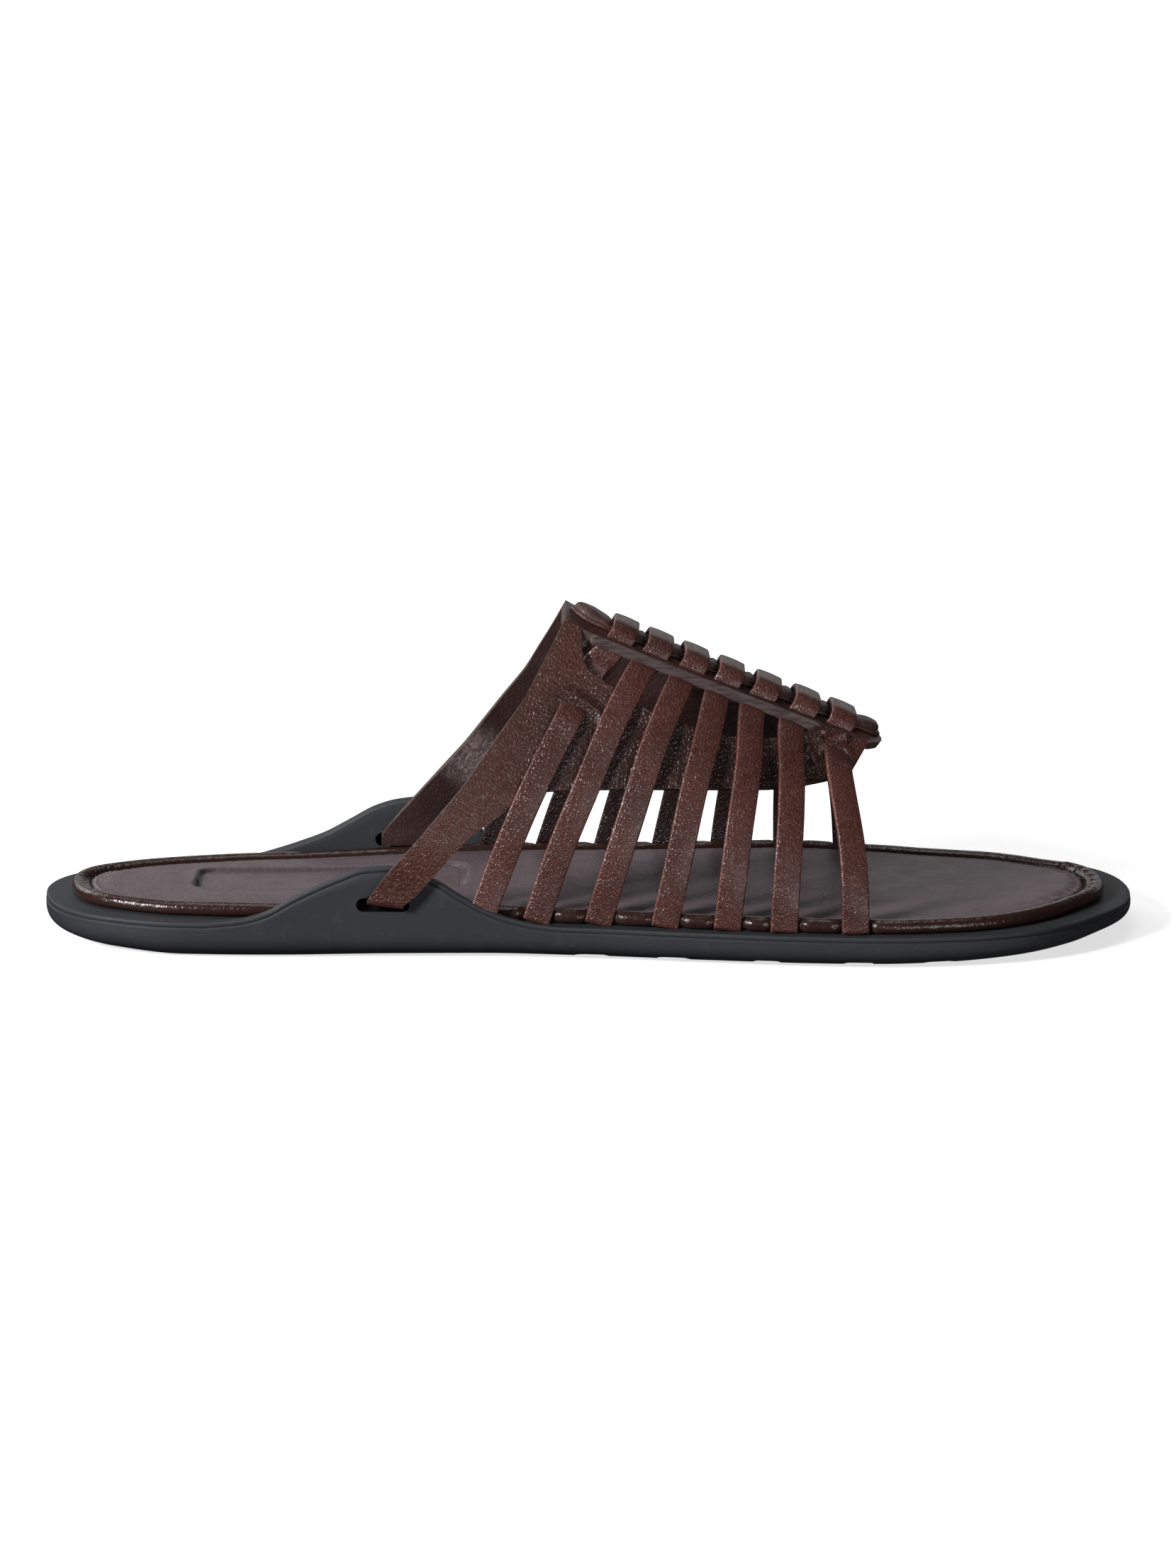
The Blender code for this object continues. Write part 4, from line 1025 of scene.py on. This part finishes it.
def leather(name, dark, light, grain, depth, roughness, crack=0.0, coat=0.0, edge_wear_and_glint=0.0):
    """Full-grain leather: pebbled cells with pores and fine creases, blotched brown dye. Edge wear and
    glint is how far marked edges are made lighter and smoother: partly wear, partly a painted
    highlight of light catching them. With it, faces marked inner are painted darker as shade."""
    hide = Finish(name, roughness=roughness, specular=0.5, Coat_Roughness=0.25)
    warp = hide.node("ShaderNodeTexNoise", None, {"Vector": hide.place, "Scale": grain * 0.3,
                                                  "Detail": 2.0})
    shift = hide.node("ShaderNodeVectorMath", {"operation": "MULTIPLY_ADD"},
                      {0: warp.outputs["Color"], 1: (0.0016, 0.0016, 0.0016), 2: hide.place})
    place = shift.outputs[0]
    pebble = hide.cells(grain, "SMOOTH_F1", place=place, smooth=0.35)
    furrow = hide.cells(grain, "DISTANCE_TO_EDGE", place=place)
    pit = hide.cells(grain * 3.1, place=place)
    cloud = hide.noise(55.0, 5.0, 0.62)
    stain = hide.noise(300.0, 4.0, 0.6)
    tone = hide.mix(cloud.above(0.34, 0.68), dark, light)
    deep = tuple(0.55 * c for c in dark)
    tone = hide.mix((1 - furrow.above(0.0, 0.16)) * (0.35 + crack), tone, deep)
    tone = hide.mix(stain.above(0.52, 0.75) * 0.4, tone, tuple(0.72 * c for c in dark))
    shine = roughness - 0.05 + stain * 0.16 - pebble * 0.10
    if edge_wear_and_glint:
        # Marked edges are made lighter and smoother: partly wear, partly a painted highlight where light
        # catches the rounded edges.
        rubbed_and_glint = hide.attribute("mark").above(0.84, 0.97) * (0.35 + 0.65 * cloud.above(0.4, 0.6)) * edge_wear_and_glint
        tone = hide.mix(rubbed_and_glint, tone, tuple(2.1 * c + 0.012 for c in light))
        # Faces marked inner are made much darker: painted shade on the straps' insides.
        tone = hide.mix(hide.attribute("inner").above(0.4, 0.6), tone, tuple(0.2 * c for c in dark))
        shine = shine - rubbed_and_glint * 0.14
    hide.tone = tone
    hide.set("Base Color", tone)
    hide.set("Roughness", shine)
    if coat:
        hide.set("Coat Weight", coat * (0.5 + 0.5 * cloud))
    grain_height = furrow.above(0.0, 0.30) * 0.6 - pebble * 0.5 + pit * 0.15 + stain * 0.7
    hide.set("Normal", hide.bump(grain_height, depth))
    return hide


def raw_edge(name, light, dark):
    """Cut leather edge: fibres in thin layers along the cut."""
    edge = Finish(name, roughness=0.62, specular=0.35)
    layer = edge.noise(900.0, 4.0, 0.65, place=edge.stretched((0.35, 1.0, 3.0)))
    fibre = edge.noise(3400.0, 2.0, 0.6)
    edge.set("Base Color", edge.mix(layer.above(0.35, 0.66), dark, light))
    edge.set("Normal", edge.bump(layer + fibre * 0.5, 0.00012))
    return edge


panel_leather = leather("saddle_grain", (0.060, 0.0178, 0.0122), (0.094, 0.0325, 0.0232),
                        1080.0, 0.00013, 0.38, crack=0.2)
along, up = panel_leather.placed()
# The saddle's middle part, from just before the rear band to near the tip and lower than about 6 cm, is
# painted much darker: painted shadow cast by the straps and the plate.
strap_shadow_zone = (along.above(0.116, 0.130) * (1 - along.above(0.192, 0.199))
             * (1 - up.above(0.060, 0.069)))
shaded = panel_leather.mix(strap_shadow_zone * 0.62, panel_leather.tone, (0.010, 0.0045, 0.004))
panel_leather.set("Base Color", shaded)
cut_edge = raw_edge("saddle_cut_edge", (0.105, 0.070, 0.058), (0.045, 0.026, 0.021))
lining = leather("saddle_lining", (0.036, 0.0175, 0.0155), (0.062, 0.034, 0.031),
                 820.0, 0.00010, 0.25, coat=0.25)
along, up = lining.placed()
off = ((along - 0.1045) / 0.010) ** 2 + ((up - 0.0385) / 0.010) ** 2
crinkle = lining.noise(520.0, 5.0, 0.7, warp=1.2).above(0.42, 0.66)
# A lighter, crinkled grey-brown patch on the rear bands' inner face: a painted highlight for the lining's
# gloss.
painted_gloss = (1 - off.above(0.0, 1.0)) * (0.25 + crinkle * 0.75)
lining.set("Base Color", lining.mix(painted_gloss, lining.tone, (0.30, 0.235, 0.225)))
for finish in (panel_leather, cut_edge, lining):
    saddle.data.materials.append(finish.material)
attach(saddle, "root")
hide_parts("upper")


# Straps: seven strips of 1.6 mm leather. Each starts beside the insole, runs up inside the
# saddle, comes up through the plate as a loop over the spine and goes down the other side.
# Their sides are skived and burnished, so the edges are round and catch the light. The edges are
# also coloured lighter, partly as wear and partly as painted highlight, and the inner faces darker
# as painted shade.
STRAP_WALL = 0.0016
STRAP_SET_BACK = 0.0026
STRAP_FULLNESS = 2.1
STRAP_BOW = 0.0013
STRAP_CROWN = 0.00018
STRAP_CORNER = 0.00042
LOOP_HEIGHT = 0.0025
LOOP_HALF_WIDTH = 0.0074
STRAP_STEP = 0.0008

# Half of a loop: out from the middle as a share of its half width, height as a share of the
# loop's, and lean to the rear as a share of the strap's set-back.
LOOP_HALF = (
    (0.00, 1.00, 0.00),
    (0.45, 1.00, 0.00),
    (0.74, 0.93, 0.00),
    (0.93, 0.68, 0.02),
    (1.00, 0.30, 0.06),
    (1.02, -0.10, 0.12),
)


def through(points, spacing):
    """Points at even spacing on a smooth cubic curve through the route's own points."""
    route = np.array(points, float)
    step = np.linalg.norm(np.diff(route, axis=0), axis=1)
    length = np.concatenate([[0], np.cumsum(np.sqrt(step))])
    slope = np.stack([np.gradient(route[:, c], length) for c in range(3)], 1)
    fine = np.linspace(0, length[-1], 900)
    i = np.clip(np.searchsorted(length, fine, side="right") - 1, 0, len(length) - 2)
    h = (length[i + 1] - length[i])[:, None]
    s = (fine - length[i])[:, None] / h
    dense = (1 + 2 * s) * (1 - s) ** 2 * route[i] + s * (1 - s) ** 2 * h * slope[i]
    dense += s * s * (3 - 2 * s) * route[i + 1] - s * s * (1 - s) * h * slope[i + 1]
    run = np.concatenate([[0], np.cumsum(np.linalg.norm(np.diff(dense, axis=0), axis=1))])
    at = np.linspace(0, run[-1], max(int(run[-1] / spacing), 4) + 1)
    return np.stack([np.interp(at, run, dense[:, c]) for c in range(3)], 1)


def foot_place(share, side):
    """Distance of a strap's foot from the centre line, clear of the rim's raised lip."""
    half = STRAP_WIDTH / SOLE_LENGTH / 2
    under = np.array([share - half, share, share + half])
    wall = WING_WALL * np.max(curve(WING_THICKNESS, 1, under))
    edge = np.min(np.abs(plan_edge(under, side)))
    return edge - wall - LIP_ROUND - FIT_GAP - STRAP_WALL / 2


def strap_route(loop, foot_share, outside_from, side):
    """Route on one side, from the middle of the loop down to the sole."""
    base_x = RIDGE_REAR_X + loop * RIDGE_RUN
    lean, rise = math.sin(RIDGE_ANGLE), math.cos(RIDGE_ANGLE)
    start_x = base_x - STRAP_SET_BACK
    reach = foot_share * SOLE_LENGTH - start_x

    def over_plate(out, height, back):
        y = out * LOOP_HALF_WIDTH
        x = base_x - back * STRAP_SET_BACK
        return (x + lean * height, side * y, plate_z(x, y) + rise * height)

    hidden = -(PANEL_WALL + STRAP_WALL / 2 - FIT_GAP)
    points = [over_plate(out, height * LOOP_HEIGHT, back) for out, height, back in LOOP_HALF]
    points += [
        over_plate(1.20, hidden, 0.40),
        over_plate(0.98 * PLATE_HALF_WIDTH / LOOP_HALF_WIDTH, 1.05 * hidden, 0.80),
    ]
    foot_y = foot_place(foot_share, side)
    foot_z = rim_height(foot_share, side > 0) + FIT_GAP
    falls = [fall for fall in (0.13, 0.26, 0.40, 0.55, 0.70, 0.85, 1.0) if fall > outside_from + 0.08]
    if outside_from > 0.1:
        falls = [outside_from * 0.4, outside_from * 0.7, outside_from - 0.03, outside_from + 0.035] + falls
    for fall in falls:
        out = 1 - (1 - fall) ** STRAP_FULLNESS
        x = start_x + reach * (0.9 * fall + 0.1 * out)
        x += STRAP_BOW * smooth_step(loop, 0.76, 0.86) * math.sin(math.pi * fall)
        if fall < outside_from:
            point = saddle_side(x, side, fall)
            point[1] -= side * (PANEL_WALL + STRAP_WALL) * smooth_step(fall, 0.02, 0.14)
        else:
            point = side_point(x, side, fall, STRAP_FULLNESS, foot_y, foot_z)
            under = saddle_at(point[0], point[2], side)[1]
            clear = abs(under) + STRAP_WALL * 0.42 - 0.004 * smooth_step(point[2], 0.040, 0.020)
            point[1] = side * max(abs(point[1]), clear)
        points.append(tuple(float(v) for v in point))
    return points


def unit(vectors):
    """Rows made one long."""
    return vectors / np.linalg.norm(vectors, axis=-1, keepdims=True)


def strip_section(width, wall, corner, crown):
    """Rounded rectangle, its outer face slightly crowned: across and outward, anticlockwise."""
    half, deep = width / 2 - corner, wall / 2 - corner
    arcs = []
    for start, sx, sy in ((0, 1, 1), (90, -1, 1), (180, -1, -1), (270, 1, -1)):
        angle = np.radians(start + np.linspace(0, 90, 5))
        arcs.append(np.stack([sx * half + corner * np.cos(angle), sy * deep + corner * np.sin(angle)], 1))
    upper = np.stack([np.linspace(half, -half, 7)[1:-1], np.full(5, wall / 2)], 1)
    under = np.stack([np.linspace(-half, half, 7)[1:-1], np.full(5, -wall / 2)], 1)
    section = np.concatenate([arcs[0], upper, arcs[1], arcs[2], under, arcs[3]])
    bow = crown * (1 - (2 * section[:, 0] / width) ** 2)
    section[:, 1] += np.where(section[:, 1] > 0, bow, 0)
    return section


def strip(path, across, section):
    """A section carried along a path; across is its width's direction. Ends are closed."""
    along = unit(np.gradient(path, axis=0))
    across = unit(across - along * np.sum(across * along, axis=1)[:, None])
    outward = np.cross(across, along)
    body = path[:, None] + across[:, None] * section[:, :1] + outward[:, None] * section[:, 1:]
    caps = [np.tile(body[k].mean(0), (1, len(section), 1)) for k in (0, -1)]
    return np.concatenate([caps[0], body, caps[1]])


strap_finish = leather("strap_grain", (0.062, 0.0182, 0.0132), (0.092, 0.0300, 0.0228),
                       1300.0, 0.00011, 0.35, crack=0.1, coat=0.15, edge_wear_and_glint=0.6)
ridge_way = np.array([math.cos(RIDGE_ANGLE), 0, -math.sin(RIDGE_ANGLE)])
for number, (loop, lateral, medial_foot, outside) in enumerate(STRAPS, 1):
    near = strap_route(loop, lateral, outside, -1)
    far = strap_route(loop, medial_foot, outside, 1)
    path = through(near[:0:-1] + far, STRAP_STEP)
    along = unit(np.gradient(path, axis=0))
    across = ridge_way - along * (along @ ridge_way)[:, None]
    run = np.linspace(0, 1, len(path))
    sway = 0.00025 * np.sin(run * 21 + number * 1.7) * np.sin(run * math.pi)
    section = strip_section(STRAP_WIDTH, STRAP_WALL, STRAP_CORNER, STRAP_CROWN)
    skin = strip(path + unit(across) * sway[:, None], across, section)
    # The marks let the finish paint the edges lighter (wear and painted highlight) and the inner faces
    # darker (painted shade).
    rim_mark = np.tile(np.abs(section[:, 0]) / (STRAP_WIDTH / 2), (len(skin), 1))
    inner = np.tile(section[:, 1] < 0, (len(skin), 1))
    strap = lay("strap_%d" % number, skin, grid_faces(len(skin), len(section), True), 1e-7,
                mark=rim_mark, inner=inner)
    strap.data.materials.append(strap_finish.material)
    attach(strap, "root")
    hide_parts("upper")


# Rails: the plate's cut edges over the windows. Leather and lining are glued there into a
# thick raw edge of fibrous layers, grey-brown, with a rounded front end.
RAIL_HEIGHT = 0.0027
RAIL_WIDTH = 0.0013
RAIL_DROP = 0.00125
RAIL_REAR_X = 0.1349
RAIL_FRONT_X = 0.1918
RAIL_CORNER = 0.00045

rail_finish = Finish("rail_cut_edge", roughness=0.58, specular=0.35)
lying = rail_finish.stretched((0.12, 1.0, 1.0), (0.0, RIDGE_ANGLE, 0.0))
layers = rail_finish.noise(1500.0, 4.0, 0.62, place=lying)
fuzz = rail_finish.noise(4200.0, 2.0, 0.6)
grey = rail_finish.mix(layers.above(0.36, 0.62), (0.034, 0.0215, 0.0200), (0.086, 0.060, 0.057))
frayed = rail_finish.mix(fuzz.above(0.55, 0.8) * 0.5, grey, (0.115, 0.092, 0.084))
rail_finish.set("Base Color", frayed)
rail_finish.set("Normal", rail_finish.bump(layers + fuzz * 0.4, 0.00022))
for side, name in ((-1, "rail_lateral"), (1, "rail_medial")):
    x = np.linspace(RAIL_REAR_X, RAIL_FRONT_X, 120)
    z = plate_z(x, PLATE_HALF_WIDTH) - RAIL_DROP
    path = np.stack([x, np.full(len(x), side * PLATE_HALF_WIDTH), z], 1)
    section = strip_section(RAIL_HEIGHT, RAIL_WIDTH, RAIL_CORNER, 0.0001)
    down = np.tile([math.sin(RIDGE_ANGLE), 0.0, math.cos(RIDGE_ANGLE)], (len(x), 1))
    skin = strip(path, down, section)
    run = np.concatenate([[0], np.linspace(0, 1, len(x)), [1]])
    end = np.minimum(run / 0.02, (1 - run) / 0.028)
    girth = np.sqrt(np.clip(1 - (1 - np.clip(end, 0, 1)) ** 2, 0.0, 1))
    middle = np.concatenate([path[:1], path, path[-1:]])[:, None]
    skin = middle + (skin - middle) * np.maximum(girth, 0.15)[:, None, None]
    rail_piece = lay(name, skin, grid_faces(skin.shape[0], skin.shape[1], True), 1e-7)
    rail_piece.data.materials.append(rail_finish.material)
    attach(rail_piece, "root")
    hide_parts("upper")


# Spine: a padded strip under the loops, a flat base layer and a rounded top layer sewn
# together in a dark groove. It swells at both ends and is pressed down by each loop.
SPINE_WIDTH = 0.0100
SPINE_HEIGHT = 0.0019
SPINE_PINCH = 0.0009
SPINE_BULGE = 0.0004
SPINE_END_SWELL = 0.0006
SPINE_REAR_SET_BACK = 0.0016
SPINE_FRONT_SET_BACK = 0.0008

# Inset as a share of the spine's half width, height as a share of its height.
SPINE_SECTION = (
    (0.40, 0.00),
    (0.03, 0.00),
    (0.00, 0.06),
    (0.00, 0.26),
    (0.03, 0.32),
    (0.12, 0.34),
    (0.16, 0.38),
    (0.13, 0.46),
    (0.14, 0.60),
    (0.19, 0.76),
    (0.30, 0.90),
    (0.45, 0.97),
    (0.62, 1.00),
    (0.85, 1.02),
)


def spine_surface():
    """Rings round the strip's long outline, laid on the plate and lifted along its normal."""
    half_run = (RIDGE_RUN - SPINE_REAR_SET_BACK - SPINE_FRONT_SET_BACK) / 2
    half = SPINE_WIDTH / 2
    ends = half * (1 - np.cos(np.linspace(0, math.pi / 2, 14)))
    middle = np.linspace(half - half_run, half_run - half, 150)[1:-1]
    along = np.concatenate([ends - half_run, middle, half_run - ends[::-1]])
    past = np.maximum(np.abs(along) - half_run + half, 0) / half
    width = half * np.sqrt(np.clip(1 - past ** 2, 0, 1))
    flat = np.concatenate([np.stack([along, -width], 1), np.stack([along, width], 1)[-2:0:-1]])
    way = np.roll(flat, -1, 0) - np.roll(flat, 1, 0)
    way /= np.linalg.norm(way, axis=1)[:, None]
    inward = np.stack([-way[:, 1], way[:, 0]], 1)
    loops = np.array([RIDGE_REAR_X + row[0] * RIDGE_RUN for row in STRAPS])
    rings = []
    insets = [row[0] for row in SPINE_SECTION]
    for (inset, height), next_in in zip(SPINE_SECTION, insets):
        spot = flat + inward * inset * half
        rings.append((spot, height))
    last = rings[-1][0]
    line = np.stack([last[:, 0], np.zeros(len(last))], 1)
    rings.append((last * 0.5 + line * 0.5, 1.02))
    rings.append((line, 1.02))
    skin = []
    for spot, height in rings:
        x = RIDGE_REAR_X + SPINE_REAR_SET_BACK + half_run + spot[:, 0]
        reach = np.abs(x[:, None] - loops[None, :]) / (0.56 * STRAP_WIDTH)
        pinch = SPINE_PINCH * np.clip(np.sum(1 / (1 + reach ** 10), axis=1), 0, 1) - SPINE_BULGE
        past = np.maximum(loops[0] - x, x - loops[-1]) / STRAP_WIDTH
        swell = SPINE_END_SWELL * np.clip(2 * past - 1.4, 0, 1)
        lift = FIT_GAP * 0.3 + height * (SPINE_HEIGHT - pinch + swell)
        z = plate_z(x, spot[:, 1]) + lift * math.cos(RIDGE_ANGLE)
        skin.append(np.column_stack([x + lift * math.sin(RIDGE_ANGLE), spot[:, 1], z]))
    under = skin[0].copy()
    under[:, 1] = 0
    under[:, 2] = plate_z(under[:, 0], 0)
    return np.array([under] + skin)


skin = spine_surface()
spine = lay("spine_pad", skin, grid_faces(len(skin), skin.shape[1], True))
spine_finish = leather("spine_grain", (0.058, 0.0240, 0.0190), (0.100, 0.0440, 0.0350), 1700.0,
                       0.00009, 0.40, crack=0.1)
spine.data.materials.append(spine_finish.material)
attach(spine, "root")
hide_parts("spine")


# Studio: a plain pale floor, a key light from the left, weaker soft lights in front, above
# and behind, and the camera 13 degrees above the floor, 1.3 m from the lateral side, square
# to the shoe. The floor glows by itself and isn't mirrored in the leather.
floor_mesh = bpy.data.meshes.new("studio_floor")
FLOOR_HALF = 14.0
floor_corners = [(FLOOR_HALF * x, FLOOR_HALF * y, 0) for x, y in ((-1, -1), (1, -1), (1, 1), (-1, 1))]
floor_mesh.from_pydata(floor_corners, [], [(0, 1, 2, 3)])
floor = bpy.data.objects.new("studio_floor", floor_mesh)
bpy.context.scene.collection.objects.link(floor)
paper = Finish("floor_paper", roughness=0.9, specular=0.1, Emission_Strength=1.0)
paper.set("Base Color", paper.mix(paper.noise(3.0), (0.80, 0.80, 0.80), (0.82, 0.82, 0.82)))
span = paper.node("ShaderNodeVectorMath", {"operation": "LENGTH"}, {0: paper.place}).outputs[1]
far_off = Value(paper, span).above(0.15, 0.9)
paper.set("Emission Color", paper.mix(far_off, (0.68, 0.68, 0.68), (1.0, 1.0, 1.0)))
floor.visible_diffuse = floor.visible_glossy = False
floor.data.materials.append(paper.material)


def soft_light(name, place, target, size, power):
    """A rectangular light at place that faces target."""
    lamp = bpy.data.lights.new(name, "AREA")
    lamp.shape, lamp.size, lamp.size_y, lamp.energy = "RECTANGLE", size[0], size[1], power
    obj = bpy.data.objects.new(name, lamp)
    obj.location = place
    obj.rotation_euler = (Vector(target) - Vector(place)).to_track_quat("-Z", "Y").to_euler()
    bpy.context.scene.collection.objects.link(obj)
    return obj


soft_light("key", (-0.95, -0.78, 0.62), (0.0, 0.0, 0.03), (0.32, 0.32), 22.5)
soft_light("fill", (0.62, -1.15, 0.14), (0.02, 0.0, 0.01), (0.8, 0.25), 4.2)
soft_light("overhead", (-0.10, 0.30, 1.20), (0.0, 0.0, 0.0), (0.8, 0.4), 2.6)
soft_light("back", (-0.95, 0.95, 0.85), (0.0, 0.0, 0.02), (0.6, 0.6), 5.0)
soft_light("horizon", (0.0, 1.60, 0.35), (0.0, 0.0, 0.02), (2.6, 0.35), 2.3)
world = bpy.data.worlds.new("studio")
world.use_nodes = True
world.node_tree.nodes["Background"].inputs["Color"].default_value = (1.0, 1.0, 1.0, 1.0)
world.node_tree.nodes["Background"].inputs["Strength"].default_value = 0.04
bpy.context.scene.world = world
bpy.context.scene.view_settings.view_transform = "Standard"

CAMERA_TILT = math.radians(13.0)
CAMERA_DISTANCE = 1.3
CAMERA_TARGET = Vector((0.13445, 0.0, 0.036)) + FOOTPRINT_SHIFT
SENSOR_WIDTH = 36.0
PHOTO_HEIGHT = 2212
PHOTO_PIXELS_PER_METRE = 5705
lens = bpy.data.cameras.new("camera")
camera = bpy.data.objects.new("camera", lens)
looking = Vector((0, math.cos(CAMERA_TILT), -math.sin(CAMERA_TILT)))
camera.location = CAMERA_TARGET - looking * CAMERA_DISTANCE
camera.rotation_euler = looking.to_track_quat("-Z", "Y").to_euler()
lens.sensor_width = SENSOR_WIDTH
lens.lens = PHOTO_PIXELS_PER_METRE * CAMERA_DISTANCE / PHOTO_HEIGHT * SENSOR_WIDTH
bpy.context.scene.collection.objects.link(camera)
bpy.context.scene.camera = camera

bpy.context.view_layer.update()
